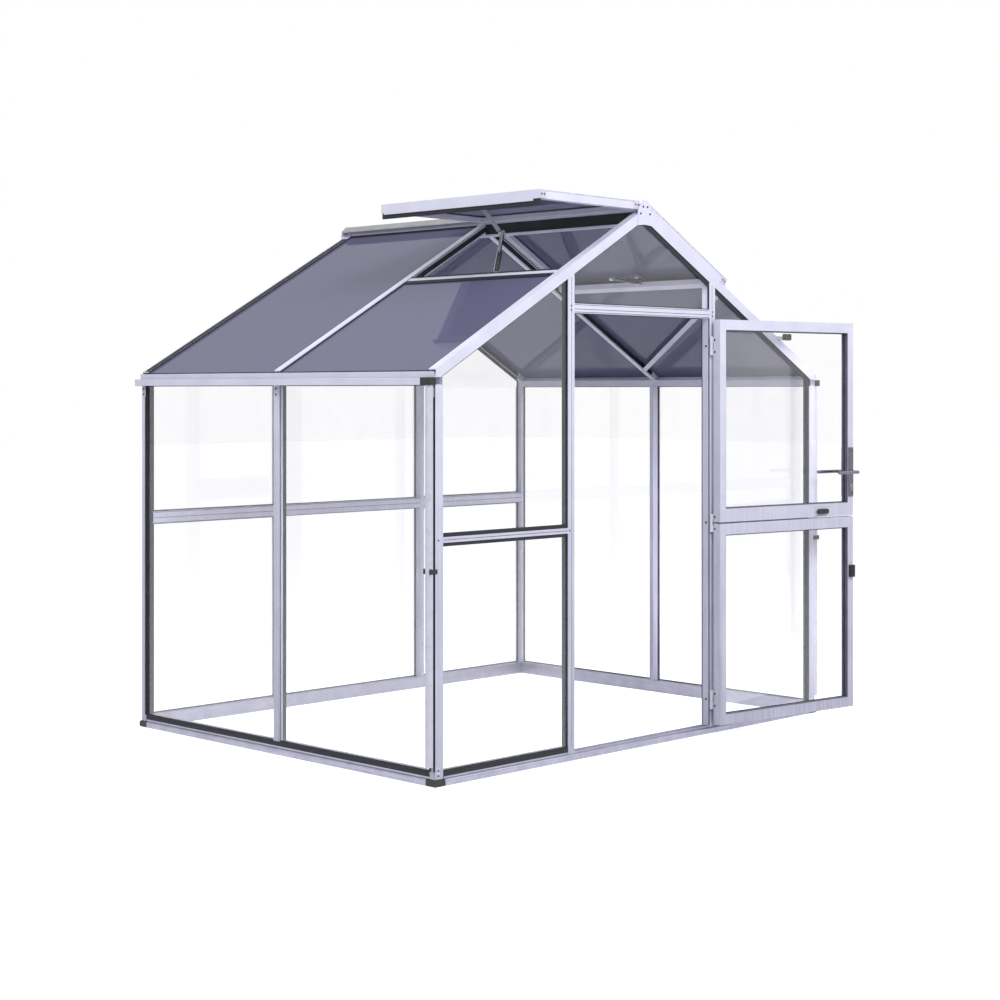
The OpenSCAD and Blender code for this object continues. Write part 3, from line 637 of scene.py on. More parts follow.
def liner(place, a, b0, b1, c0, c1, way, thick=1.4):
    """A black liner on a bar's side face at a, from depth b0 to b1 and height c0 to c1, thick towards way.

    Its section is a flat strip with round long edges: half a superellipse, (cos t, sin t) to the power 0.4.
    """
    t = np.linspace(0, math.pi, 9)
    across = np.sign(np.cos(t)) * np.abs(np.cos(t)) ** 0.4
    rise = np.abs(np.sin(t)) ** 0.4
    b = (b0 + b1) / 2 + across * (b1 - b0) / 2
    section = np.stack([a + way * (0.05 + thick * rise), b], 1)
    return bar(place, section, c0, c1, "c")


def line_walls():
    """Black liners on the side faces of posts and bars that look into the panes."""
    # these liners are painted shade on the faces of posts and bars that look into the panes
    shapes = []
    corner_top = rafter_under(HALF_W - CORNER_W) - 2.0
    post_top = rafter_under(POST_STEM + 2.0) - 2.0
    for place, rail_low, rail_top in ((FRONT, *RAIL_STEM), (REAR, REAR_LOW, REAR_TOP)):
        for side in (-1, 1):
            corner = side * (HALF_W - CORNER_W - 0.2)
            post = side * (POST_STEM + 0.2)
            under = (BESIDE[0], rail_low - 1.0, rail_low - 1.0)
            over = (rail_top + 1.0, corner_top, post_top)
            for c0, c1, post_c1 in (under, over):
                shapes.append(liner(place, corner, 0.8, 7.7, c0, c1, -side, 1.2))
                if place is FRONT:
                    shapes.append(liner(place, post, 12.4, 44.0, c0, post_c1, side))
                    shapes.append(liner(place, corner, 12.4, 31.0, c0, c1, -side))
                    shapes.append(liner(place, corner, 31.2, 44.0, c0, c1, -side, 1.6))
    for place in (LEFT, RIGHT):
        if place is LEFT:
            for way in (-1, 1):
                stem = MID_Y + way * (STEM_W / 2 + 0.2)
                shapes.append(liner(place, stem, 27.0, 44.5, *BESIDE, way))
        for y, way in ((CORNER_W + 0.2, 1), (LENGTH - CORNER_W - 0.2, -1)):
            shapes.append(liner(place, y, 0.4, 7.7, *BESIDE, way, 1.8))
            if place is LEFT:
                shapes.append(liner(place, y, 12.4, 44.0, *BESIDE, way))
    rubber("bar_painted_shade_liners", shapes)


def cover_corners():
    """Black on the side walls' corner posts: weather strips by the panes, painted shade at the front edge."""
    rear = LENGTH - CORNER_W
    # the last span is a black sheet of painted shade on the post's side face, by the downpipe
    spans = ((CORNER_W - 9.0, CORNER_W + 1.6, -1.1), (rear - 1.6, rear + 9.0, -1.1), (0.6, 11.6, -1.0))
    shapes = []
    for place in (LEFT, RIGHT):
        for y0, y1, out in spans:
            section = [(y0, -0.1), (y0 + 0.6, out), (y1 - 0.6, out), (y1, -0.1)]
            shapes.append(bar(place, section, *BESIDE, "c"))
    rubber("corner_strips_and_painted_shade", shapes)


def line_rafters():
    """Black liners under the gable rafters, on all rafters' sides, and on the ridge beam by the vents."""
    # these liners are painted shade on the faces under and beside the rafters and on the ridge beam
    shapes = []
    under = -RAFTER_D
    a0, a1 = 50.0 / COS_P, (HALF_W - CORNER_W - 2.0) / COS_P
    side_a0, side_a1 = 20.0 / COS_P, (HALF_W - 45.0) / COS_P
    sides = [(y, way) for bay in BAYS for y, way in zip(bay, (1, -1), strict=True)]
    for place in (LEFT_ROOF, RIGHT_ROOF):
        for face, way in ((0.0, 1), (LENGTH, -1)):
            for near, far in ((0.6, 7.7), (12.3, 31.4)):
                b0, b1 = face + way * near, face + way * far
                section = [(b0, under - 0.1), (b1, under - 0.1), (b1, under - 1.2), (b0, under - 1.2)]
                shapes.append(bar(place, section, a0, a1))
        for face, way in sides:
            b0, b1 = face + way * 0.1, face + way * 1.3
            for n0, n1 in ((-3.4, -7.7), (-12.4, -34.0)):
                section = [(b0, n0), (b1, n0 - 0.5), (b1, n1 + 0.5), (b0, n1)]
                shapes.append(bar(place, section, side_a0, side_a1))
    low, top = APEX - 58.0, APEX - 11.0
    for side in (-1, 1):
        x0, x1 = side * 12.1, side * 13.3
        section = [(x0, low), (x1, low + 1.0), (x1, top - 1.0), (x0, top)]
        shapes.append(bar(FRONT, section, CORNER_W + 2.0, MID_Y - 14.0, "b"))
    rubber("rafter_painted_shade_liners", shapes)


def cover_rear_rafters():
    """Black weather strips along the rear rafters' caps and over the edge of the panes beside them."""
    y0, y1 = LENGTH - CORNER_CAP - 4.0, LENGTH - 13.0
    section = [(y0, 0.1), (y0 + 1.0, 1.2), (y1 - 1.0, 1.2), (y1, 0.1)]
    run = (50.0 / COS_P, (HALF_W - 6.0) / COS_P)
    rubber("rear_rafter_strips", [bar(place, section, *run) for place in (LEFT_ROOF, RIGHT_ROOF)])


def groove(place, start, end, across, up, width=2.4):
    """A groove's painted shade, drawn as a low grey bead: the height 0.35 * sin t over the width * cos t."""
    t = np.linspace(0, math.pi, 6)
    section = np.stack([width / 2 * np.cos(t), 0.05 + 0.35 * np.sin(t)], 1)
    start, end = place.put([start, end])
    axes = place.axes
    return along(section, start, end, np.array(across) @ axes, np.array(up) @ axes)


def groove_bars():
    """Grooves along the door posts, the front rails and the head rail, and on both faces of the rear rail."""
    shapes = []

    def level(place, x0, x1, z, depth=0.0, way=-1):
        shapes.append(groove(place, (x0, depth, z), (x1, depth, z), (0, 0, 1), (0, way, 0)))

    def rear(x0, x1):
        for z in (REAR_LOW + 26.0, REAR_LOW + 2.0, REAR_TOP - 2.0):
            level(REAR, x0, x1, z, 45.0, 1)
            level(REAR, x0, x1, z, 4.0)

    for side in (-1, 1):
        x = side * (POST_X + 17.0)
        shapes.append(groove(FRONT, (x, 0, 60.0), (x, 0, rafter_under(x) - 4.0), (1, 0, 0), (0, -1, 0)))
        level(FRONT, side * (POST_OUT + 2.0), side * (HALF_W - CORNER_CAP - 2.0), (RAIL_TOP + RAIL_LOW) / 2)
        rear(side * (BAY_X + 20.0), side * (HALF_W - CORNER_W - 3.0))
    rear(-BAY_X + 15.0, BAY_X - 15.0)
    for up in (3.0, 15.0, 33.0):
        level(FRONT, -POST_X + 1.0, POST_X - 1.0, HEAD_LOW + up)
    piece("bar_groove_painted_shade", shapes, grey_pvc_and_groove_shade)


def line_doorway():
    """Black seals at the front corners of the door posts' jambs."""
    seal = (0.8, 6.0, 36.0, HEAD_LOW - 1.0)
    rubber("jamb_seals", [liner(FRONT, side * (POST_X - 0.1), *seal, -side, 1.0) for side in (-1, 1)])


def glaze_roof():
    """Rubber on roof panes along the rafters and at the ridge; under the vent sill, also painted shade."""
    shapes = []
    low_a = (HALF_W + 4.0) / COS_P
    vent_a = (VENT_SILL_X + VENT_SILL_W) / COS_P
    ridge_a = 16.0 / COS_P
    # under the vent sill the strip is 26 mm wide: past the rubber, painted shade below the sill
    bays = ((vent_a, *BAYS[0], FRONT_LIP, BAR_LIP, 26.0), (ridge_a, *BAYS[1], BAR_LIP, FRONT_LIP, 12.0))
    above = [(p, -q) for p, q in OUTER]
    for place in (LEFT_ROOF, RIGHT_ROOF):
        for top_a, y0, y1, lip0, lip1, head in bays:
            corners = [(top_a, y0), (low_a, y0), (low_a, y1), (top_a, y1)]
            shapes.append(strip_round(place, corners, [lip0 + SHOW, 3.0, lip1 + SHOW, head], above, "roof"))
    rubber("roof_glazing_strips_and_painted_shade", shapes)


def glaze_vents():
    """Rubber strips in the vent frames, above and below the panes."""
    top = VENT_LOW + VENT_DEEP - GLASS_IN
    inset = VENT_RAIL + 0.4
    u0, u1 = VENT_START + inset, VENT_LEN - inset
    y0, y1 = VENT_Y[0] + inset, VENT_Y[1] - inset
    corners = [(u0, y0), (u1, y0), (u1, y1), (u0, y1)]
    above = [(0.0, 0.1), (1.0, 0.1), (1.0, 2.0), (0.6, 4.5), (0.0, 5.5)]
    below = [(0.0, -4.1), (1.0, -4.1), (1.0, -6.0), (0.6, -8.0), (0.0, -9.0)]
    shapes = []
    for place in (LEFT_VENT, RIGHT_VENT):
        for profile in (above, below):
            raised = [(p, top + q) for p, q in profile]
            shapes.append(strip_round(place, corners, [6.0] * 4, raised, "roof"))
    rubber("vent_glazing_strips", shapes)


def glaze_leaf(body, z0, z1):
    """On both faces of a leaf's pane: black rubber at the glass, and a grey bead out to the frame's face."""
    half = LEAF_HALF - STILE_W - 0.4
    corners = [(-half, z0), (half, z0), (half, z1), (-half, z1)]
    mid = LEAF_T / 2
    strip = [(0.0, mid - 2.1), (5.5, mid - 2.1), (5.5, mid - 3.2), (3.4, mid - 4.4), (0.0, mid - 4.4)]
    bead = [(0.0, mid - 4.5), (3.2, mid - 4.5), (3.0, mid - 12.0), (1.6, 1.2), (0.0, 0.6)]
    for kind, profile, finish in (("rubber", strip, epdm_and_painted_shade), ("beads", bead, grey_pvc_and_groove_shade)):
        other = [(p, LEAF_T - q) for p, q in profile]
        shapes = [strip_round(FRONT, corners, [1.0] * 4, face, "wall") for face in (profile, other)]
        piece(body + "_" + kind, shapes, finish, body)


# ---- sill ----


def cover_sills():
    """Black strips that snap over the sill's upper part, between the posts."""
    section = [(0.3, 36.0), (1.8, 36.5), (1.8, 55.4), (1.2, 55.9), (0.5, 55.4), (0.2, 45.0)]
    corner = HALF_W - CORNER_CAP - 0.5
    side_run = (CORNER_W + 0.5, LENGTH - CORNER_W - 0.5)
    runs = [
        (FRONT, POST_OUT + 0.5, corner),
        (FRONT, -corner, -POST_OUT - 0.5),
        (REAR, -corner, corner),
        (LEFT, *side_run),
        (RIGHT, *side_run),
    ]
    rubber("sill_cover_strips", [bar(place, section, a0, a1) for place, a0, a1 in runs])


def rib_threshold():
    """Tread ribs along the threshold: half-round bars, r * sin t high over r * cos t."""
    radius = 1.4
    t = np.linspace(0, math.pi, 6)
    section = np.stack([radius * np.cos(t), radius * np.sin(t)], 1)
    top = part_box("threshold")[1].z / MM
    shapes = []
    for y in np.arange(7.0, 42.0, 5.0):
        shapes.append(along(section, (-POST_X + 4, y, top), (POST_X - 4, y, top), (0, 1, 0), (0, 0, 1)))
    piece("threshold_ribs", shapes, sill_mill)


# ---- screws, bolts and plates ----


def screw(centre, axis, radius, height, count=12):
    """A pan head: the radius falls from its rim to its crown, then drops into a recess in the middle."""
    shares = [(0.9, 0), (1, 0.25), (0.92, 0.7), (0.6, 1), (0.34, 1), (0.28, 0.45)]
    return turned([(radius * r, height * h) for r, h in shares], centre, axis, count)


def hex_bolt(centre, axis, across, height):
    """A hexagon head with a chamfered top, on a round washer."""
    r = across / 2 / math.cos(math.pi / 6)
    head = turned([(r, 1.2), (r, height * 0.8), (r * 0.86, height)], centre, axis, 6)
    washer = turned([(r * 1.25, 0), (r * 1.3, 0.6), (r * 1.2, 1.3)], centre, axis, 16)
    return [head, washer]


def plate(place, centre, half_a, half_c, depth, thick, radius=3.0):
    """A plate with round corners on a wall's plane: it stands from depth out to depth - thick."""
    levels = [(0.0, depth), (0.0, depth - thick * 0.6), (0.5, depth - thick)]
    outline = round_box(half_a, half_c, radius) + centre
    return pad(outline, levels, lambda points: place.put(points[:, [0, 2, 1]]))


def gussets():
    """Light plates that tie the eave beam to the side bars and corner posts, each with two small bolts."""
    plates, bolts = [], []
    z = EAVE - 26.0
    for place in (LEFT, RIGHT):
        for y, half in ((MID_Y, 15.0), (17.0, 12.0), (LENGTH - 17.0, 12.0)):
            plates.append(plate(place, (y, z), half, 22.0, -0.1, 2.0))
            for dz in (-12.0, 12.0):
                bolts += hex_bolt(place.put([(y, -2.1, z + dz)])[0], -place.axes[1], 6.0, 3.0)
    piece("eave_gusset_plates", plates, hinge_coat)
    screws("eave_gusset_bolts", bolts)


def corner_foot_plates():
    """Light plates low on the corner posts' fronts and backs, with two small screws each."""
    plates, heads = [], []
    for place in (FRONT, REAR):
        for side in (-1, 1):
            x = side * (HALF_W - 14.0)
            plates.append(plate(place, (x, 52.0), 9.0, 20.0, -0.1, 1.5, 2.0))
            for z in (42.0, 62.0):
                heads.append(screw(place.put([(x, -1.6, z)])[0], -place.axes[1], 4.0, 2.6))
    piece("corner_foot_plates", plates, hinge_coat)
    screws("corner_foot_screws", heads)


def rail_screws():
    """Screws through the posts' caps into the mid rails, the head rail and the rear rails."""
    corner = HALF_W - 16.0
    spots = [(x, -1, RAIL_TOP - 11.0) for x in (-POST_X - 30.0, POST_X + 30.0, -corner, corner)]
    spots += [(x, -1, HEAD_LOW + up) for x in (-POST_X - 19.0, POST_X + 19.0) for up in (10.0, 28.0)]
    spots += [(x, 1, z) for x in (-BAY_X, BAY_X, -corner, corner) for z in (REAR_LOW + 13.0, REAR_TOP - 13.0)]
    faces = {-1: -0.1, 1: LENGTH + 0.1}
    screws("rail_screws", [screw((x, faces[way], z), (0, way, 0), 3.6, 2.4) for x, way, z in spots])


def ridge_screws():
    """Four dark screws in each of the ridge's end plates, and a row along the ridge cover."""
    heads = []
    for y, way in ((-4.1, -1), (LENGTH + 4.1, 1)):
        for x, z in ((-14.0, APEX + 8.0), (14.0, APEX + 8.0), (-30.0, APEX - 22.0), (30.0, APEX - 22.0)):
            heads.append(screw((x, y, z), (0, way, 0), 4.5, 3.0))
    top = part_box("ridge_cap")[1].z / MM
    for y in (MID_Y + 60.0, MID_Y + 480.0, LENGTH - 60.0):
        heads.append(screw((0, y, top + 0.1), (0, 0, 1), 4.0, 1.8))
    screws("ridge_screws", heads)


def vent_end_caps():
    """White end caps on the four rail ends of each vent, each with two dark screws."""
    caps, heads = [], []
    mid_n = VENT_LOW + VENT_DEEP / 2
    for place in (LEFT_VENT, RIGHT_VENT):
        for u in (VENT_START + VENT_RAIL / 2, VENT_LEN - VENT_RAIL / 2):
            for y, way in ((VENT_Y[0], -1), (VENT_Y[1], 1)):
                outline = round_box(18.0, 17.5, 2.5) + [u, mid_n]
                levels = [(0.0, 0.1), (0.0, 1.6), (0.7, 2.3)]

                def on_end(points, place=place, y=y, way=way):
                    return place.put(np.column_stack([points[:, 0], y + way * points[:, 2], points[:, 1]]))

                caps.append(pad(outline, levels, on_end))
                for du in (-8.0, 8.0):
                    centre = place.put([(u + du, y + way * 2.4, mid_n)])[0]
                    heads.append(screw(centre, (0, way, 0), 4.2, 1.2))
    piece("vent_end_caps", caps, white_pvc)
    screws("vent_end_cap_screws", heads)


def vent_edge_strips():
    """Thin grey weather strips along the vents' side rails, high on the rails' outer faces."""
    shapes = []
    top = VENT_LOW + VENT_DEEP
    for place in (LEFT_VENT, RIGHT_VENT):
        for y, way in ((VENT_Y[0], -1), (VENT_Y[1], 1)):
            b0, b1 = y + way * 0.1, y + way * 1.1
            section = [(b0, top - 1.5), (b1, top - 2.0), (b1, top - 6.0), (b0, top - 6.5)]
            shapes.append(bar(place, section, VENT_START + 2, VENT_LEN - 2))
    piece("vent_edge_strips", shapes, zinc)


def vent_sill_seals_and_shade():
    """Black on each vent sill: rubber on its uphill edge; on its downhill face, rubber and painted shade."""
    down = (VENT_SILL_X + VENT_SILL_W) / COS_P
    # on the downhill face, over the panes, the foot is partly the sill's seal and partly painted shade
    foot = [(0.3, -22.5), (4.0, -22.5), (5.0, -19.0), (5.0, -13.0), (0.3, -12.6)]
    up = VENT_SILL_X / COS_P
    seal = [(1.0, -3.9), (7.0, -3.9), (6.0, -0.6), (3.0, 0.2), (1.5, -1.0)]
    shapes = []
    for place in (LEFT_ROOF, RIGHT_ROOF):
        for a, profile, inset in ((down, foot, 1.0), (up, seal, 12.0)):
            section = [(a + p, n) for p, n in profile]
            shapes.append(bar(place, section, BAYS[0][0] + inset, BAYS[0][1] - inset, "b"))
    rubber("vent_sill_seals_and_shade", shapes)


def vent_flaps():
    """Rubber flaps on the vents' free edges: the open one's hangs, the closed one's lies on the pane."""
    hang = [(-8.5, -0.2), (-5.4, -0.2), (-5.6, -20.0), (-7.2, -27.0), (-8.1, -20.0)]
    bent = [(0.2, 3.0), (1.6, 1.0), (4.0, -6.2), (18.0, -7.9), (18.0, -8.6), (2.0, -8.5), (0.2, -6.0)]
    runs = (
        (LEFT_VENT, hang, VENT_Y[0] + 1.0, VENT_Y[1] - 1.0),
        (RIGHT_VENT, bent, CORNER_CAP + 2.0, MID_Y - 21.0),
    )
    shapes = []
    for place, profile, y0, y1 in runs:
        section = [(VENT_LEN + p, VENT_LOW + n) for p, n in profile]
        shapes.append(bar(place, section, y0, y1, "b"))
    rubber("vent_flaps", shapes)


def door_holdback():
    """A hold-back for the open upper leaf: a light bracket on the right gable rafter, and a black buffer."""
    x, reach = 938.0, -26.0
    z = roof_z(x) - 4.0
    bracket = plate(FRONT, (x, z), 16.0, 12.0, -0.2, 3.0)
    arm = along(round_box(5.0, 9.0, 2.0), (x, -3.0, z), (x, reach, z + 4.0), (1, 0, 0), (0, 0, 1))
    outline = round_box(27.0, 15.0, 6.0) + [x + 24.0, z + 8.0]
    buffer = on_leaf(outline, [(0.0, 0.0), (0.0, 9.0), (1.5, 12.0)], reach, -1)
    piece("holdback_bracket", [bracket, arm], hinge_coat)
    piece("holdback_buffer", [buffer], black_pp)


def hinge_caps():
    """Dark screws in the hinges: on the leaves' hinge edges beside each knuckle and on the post's jamb."""
    caps = {"frame": [], "lower": [], "upper": []}
    for z in HINGE_ZS:
        caps["frame"].append(screw((POST_X - 0.1, 20.0, z), (-1, 0, 0), 5.0, 2.4))
        for spot in (z - KNUCKLE_STEP, z + KNUCKLE_STEP):
            leaf = "lower" if spot < SPLIT_Z else "upper"
            caps[leaf].append(screw((LEAF_HALF + 0.1, 7.0, spot), (1, 0, 0), 5.0, 2.4))
    screws("frame_hinge_caps", caps["frame"])
    screws("lower_hinge_caps", caps["lower"], "lower_leaf")
    screws("upper_hinge_caps", caps["upper"], "upper_leaf")


# ---- gutters and pipes ----


def outlet_ribs():
    """Three faint ribs round each outlet block: a flat profile carried along two of the block's sides."""
    shapes = []
    low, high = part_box("gutter_outlets")
    y0, y1 = low.y / MM, high.y / MM
    section = [(0.0, -0.8), (0.45, -0.5), (0.45, 0.5), (0.0, 0.8)]
    for side in (-1, 1):
        x0, x1 = side * (HALF_W + 1.0), side * (high.x / MM + 0.05)
        path = [(x0, y0 - 0.05, 0, -1), (x1, y0 - 0.05, side, -1), (x1, y1 - 6.0, side, 0)]
        for z in (EAVE + 6.0, EAVE + 13.0, EAVE + 20.0):
            rings = [[(x + q * ox, y + q * oy, z + w) for q, w in section] for x, y, ox, oy in path]
            shapes.append(tube(rings))
    piece("outlet_ribs", shapes, black_pp)


def pipe_clip_bolts():
    """Bolts through the pipe clips' lugs."""
    head = [(2.6, 0.1), (3.0, 1.0), (2.4, 2.6)]
    x = PIPE_X + PIPE_R * 0.55
    spots = [(side * x, PIPE_Y + dy, CLIP_Z + 9.0) for side in (-1, 1) for dy in (-18.5, 18.5)]
    screws("pipe_clip_bolts", [turned(head, spot, (0, 0, 1), 6) for spot in spots])


def gutter_end_screws():
    """Two screws in each gutter's rear end plate."""
    spots = [(side * (HALF_W + out), LENGTH + 4.1, EAVE + 12.0) for side in (-1, 1) for out in (10.0, 26.0)]
    screws("gutter_end_screws", [screw(spot, (0, 1, 0), 3.4, 2.2) for spot in spots])


# ---- openers ----


def vent_point(side, angle, u, n):
    """A point (x, z) of a vent, u along it from its hinge and n square to it."""
    lean = PITCH - angle
    x = VENT_HINGE[0] + u * math.cos(lean) + n * math.sin(lean)
    return side * x, VENT_HINGE[1] - u * math.sin(lean) + n * math.cos(lean)


def opener_joints(side, angle, elbow_a, elbow_n):
    """The three joints (x, z) of an opener: at its bracket, at its elbow and at the vent's arm."""
    base_x = VENT_SILL_X - 12.3
    base = (side * base_x, roof_z(base_x) - 14.0 / COS_P)
    elbow_x = VENT_SILL_X + elbow_a
    elbow = (side * elbow_x, roof_z(elbow_x) + elbow_n / COS_P)
    head_n = VENT_LOW + VENT_DEEP - GLASS_OUT - 16.0
    head_u = (VENT_SILL_X - 16.0 - VENT_HINGE[0] - head_n * SIN_P) / COS_P
    return base, elbow, vent_point(side, angle, head_u, head_n)


def fit_opener(name, side, angle, elbow_a, elbow_n):
    """An opener's cylinder beside its lower link, spring beside its upper one, and pins at the joints."""
    base, elbow, head = opener_joints(side, angle, elbow_a, elbow_n)

    def link(p, q, y):
        start, end = np.array([p[0], y, p[1]]), np.array([q[0], y, q[1]])
        length = np.linalg.norm(end - start)
        return start, end, (end - start) / length, length

    start, _, way, length = link(base, elbow, OPENER_Y - 15.2)
    barrel = [(4.5, 0), (9.0, 2.0), (9.0, length * 0.42), (7.0, length * 0.46), (3.5, length * 0.47)]
    rod = [(3.0, length * 0.46), (3.0, length - 24.0), (2.0, length - 22.0)]
    foot = start + way * 14.0
    tubes = [turned(barrel, foot, way, 20), turned(rod, foot, way, 12)]
    start, end, way, _ = link(elbow, head, OPENER_Y + 14.2)
    spring = helix(start + way * 12.0, end - way * 12.0, 5.5, 1.1, 16)
    pins = []
    pin = [(4.0, 0.1), (4.4, 1.0), (4.0, 3.2), (2.6, 4.0)]
    for (x, z), reach in ((base, 15.0), (elbow, 10.0), (head, 15.0)):
        for side_y in (-1, 1):
            pins.append(turned(pin, (x, OPENER_Y + side_y * reach, z), (0, side_y, 0), 14))
    piece(name + "_cylinder", tubes, black_pp, smooth=True)
    piece(name + "_spring", [spring], zinc, smooth=True)
    piece(name + "_pins", pins, bolt_steel, smooth=True)


# ---- door furniture, drawn closed and turned to where the leaves stand ----


def hinge_details():
    """Screws in the hinges' plates, and domed pin ends on the lowest and the highest hinge."""
    heads = {"frame": [], "lower": [], "upper": []}
    for z in HINGE_ZS:
        for dz in (-24.0, 0.0, 24.0):
            heads["frame"].append(screw((HINGE[0] + 24.0, -3.2, z + dz), (0, -1, 0), 3.8, 2.0))
    low, mid, high = HINGE_ZS
    reach = KNUCKLE_STEP + 13.0
    spans = [
        ("lower", low - reach, low + reach),
        ("lower", mid - reach - 13.0, LOWER_Z[1] - 2.0),
        ("upper", UPPER_Z[0] + 2.0, mid + reach + 13.0),
        ("upper", high - reach, high + reach),
    ]
    for leaf, z0, z1 in spans:
        for z in np.linspace(z0 + 9.0, z1 - 9.0, 3 if z1 - z0 > 60 else 2):
            heads[leaf].append(screw((HINGE[0] - 26.0, -3.1, z), (0, -1, 0), 3.8, 2.0))
    piece("frame_hinge_screws", heads["frame"], bolt_steel)
    dome = [(6.4, 0.1), (6.2, 1.4), (4.6, 2.8), (2.0, 3.4)]
    for leaf in ("lower", "upper"):
        piece(leaf + "_hinge_screws", heads[leaf], bolt_steel, leaf + "_leaf")
    for leaf, middle in (("lower", low), ("upper", high)):
        pins = [turned(dome, (HINGE[0], HINGE[1], middle + way * reach), (0, 0, way), 16) for way in (-1, 1)]
        piece(leaf + "_hinge_pins", pins, hinge_coat, leaf + "_leaf", smooth=True)


def on_leaf(outline, levels, face, way):
    """A pad on a leaf's face, or on another upright face: way is -1 out of the house and 1 into it."""

    def place(points):
        return np.column_stack([points[:, 0], face + way * points[:, 2], points[:, 1]])

    return pad(outline, levels, place)


def lock_details():
    """On each back plate: a raised rim, a rose under the lever, a cylinder with its keyway, and screws."""
    trims, roses, cylinders, keyways, heads = [], [], [], [], []
    keyhole = LEVER_Z - 66.0
    t = np.linspace(0, 2 * math.pi, 28, endpoint=False)[:, None]
    r, h = np.array([(8.2, 0.1), (10.5, 0.3), (11.0, 3.0), (9.6, 5.5), (8.2, 6.0), (8.15, 3.0)]).T
    for face, way in ((-PLATE_T - 0.1, -1), (LEAF_T + PLATE_T + 0.1, 1)):
        rim = round_box(14.0, 112.0, 9.0) + [LEVER_X, LEVER_Z]
        trims.append(on_leaf(rim, [(0.0, 0.1), (0.6, 0.8), (2.2, 0.9)], face, way))
        front = face + way
        rose_face = front + way * 0.1
        barrel = [(8.4, 0.2), (8.6, 2.2), (7.6, 3.0)]
        cylinders.append(turned(barrel, (LEVER_X, front, keyhole), (0, way, 0), 24))
        tail = round_box(4.4, 9.0, 4.2) + [LEVER_X, keyhole - 12.0]
        cylinders.append(on_leaf(tail, [(0.0, 1.2), (0.0, 3.0), (0.6, 3.8)], face, way))
        slot = round_box(1.3, 4.2, 1.2) + [LEVER_X, keyhole]
        keyways.append(on_leaf(slot, [(0.0, 3.8), (0.0, 4.3), (0.2, 4.4)], face, way))
        for z in (LEVER_Z + 98.0, LEVER_Z - 98.0):
            heads.append(screw((LEVER_X, front, z), (0, way, 0), 3.8, 1.8))
        # a ring open in its middle: the profile (r, h) goes all the way round, and closes on itself
        y = np.broadcast_to(rose_face + way * h, (len(t), len(h)))
        rings = np.stack([LEVER_X + r * np.cos(t), y, LEVER_Z + r * np.sin(t)], 2)
        roses.append(tube(rings, closed=True))
    body = "upper_leaf"
    piece("lock_plate_faces", trims, lever_steel, body)
    piece("lock_cylinders", cylinders, bolt_steel, body, smooth=True)
    piece("lock_keyways", keyways, black_pp, body)
    screws("lock_plate_screws", heads, body=body)
    piece("lever_roses", roses, lever_steel, "lever", smooth=True)


def latch_details():
    """The lower leaf's slide latch: a thumb grip with three ridges, and two screws."""
    y = LEAF_T + 16.4
    x = -LEAF_HALF + 17.0
    grips = [on_leaf(round_box(8.0, 13.0, 3.0) + [x, LATCH_Z], [(0.0, 0.0), (0.0, 3.0), (1.2, 4.0)], y, 1)]
    for dz in (-6.0, 0.0, 6.0):
        ridge = round_box(6.0, 1.0, 0.9) + [x, LATCH_Z + dz]
        grips.append(on_leaf(ridge, [(0.0, 4.1), (0.0, 4.8), (0.4, 5.3)], y, 1))
    heads = [screw((x, y, LATCH_Z + dz), (0, 1, 0), 3.4, 1.8) for dz in (-21.0, 21.0)]
    piece("latch_grip", grips, black_pp, "lower_leaf")
    screws("latch_screws", heads, body="lower_leaf")


def button_details():
    """The turn button's raised oval face, and its dark screw."""
    z = SPLIT_Z + 28.0
    y = LEAF_T + 16.1
    t = np.linspace(0, 2 * math.pi, 28, endpoint=False)
    oval = np.stack([33.0 * np.cos(t), 10.0 * np.sin(t)], 1) + [BUTTON_X, z]
    cap = on_leaf(oval, [(0.0, 0.1), (0.4, 1.0), (2.0, 1.6)], y, 1)
    head = screw((BUTTON_X, y + 1.7, z), (0, 1, 0), 4.0, 1.2, 16)
    piece("turn_button_face", [cap], black_pp, "button")
    screws("turn_button_screw", [head], body="button")


def keeper_details():
    """Two screws in each keeper plate on the left door post."""
    plates = ((LEVER_Z, 21.0), (LATCH_Z, 17.0), (80.0, 19.0))
    spots = [z + way * half for z, half in plates for way in (-1, 1)]
    heads = [screw((-POST_X + 1.3, 19.0, z), (1, 0, 0), 3.0, 1.2) for z in spots]
    piece("keeper_screws", heads, bolt_steel)


def leaf_seals():
    """Brush seals on the door posts and the head rail, which the closed leaves meet: a thin black fin."""
    fin = [(0.0, 40.6), (3.2, 41.6), (3.2, 42.6), (0.0, 43.6)]
    shapes = []
    for side in (-1, 1):
        upright = [(side * (POST_X - p), y) for p, y in fin]
        shapes.append(bar(FRONT, upright, 36.0, HEAD_LOW - 1.0, "c"))
    shapes.append(bar(FRONT, [(y, HEAD_LOW - p) for p, y in fin], -POST_X + 4.0, POST_X - 4.0))
    rubber("door_brush_seals", shapes)


# ---- floor, light and camera ----


WORLD_LIGHT = 0.42
FLOOR_LIFT = 0.78


def add_seen(tree, plain, seen):
    """A value that is seen where the camera, a mirror or a pane looks, and plain for all other light."""
    ray = add(tree, "LightPath").outputs
    direct = add(tree, "Math", {0: ray["Is Camera Ray"], 1: ray["Is Glossy Ray"]}).outputs["Value"]
    every = add(tree, "Math", {0: direct, 1: ray["Is Transmission Ray"]}, use_clamp=True).outputs["Value"]
    return spread(tree, every, plain, seen)


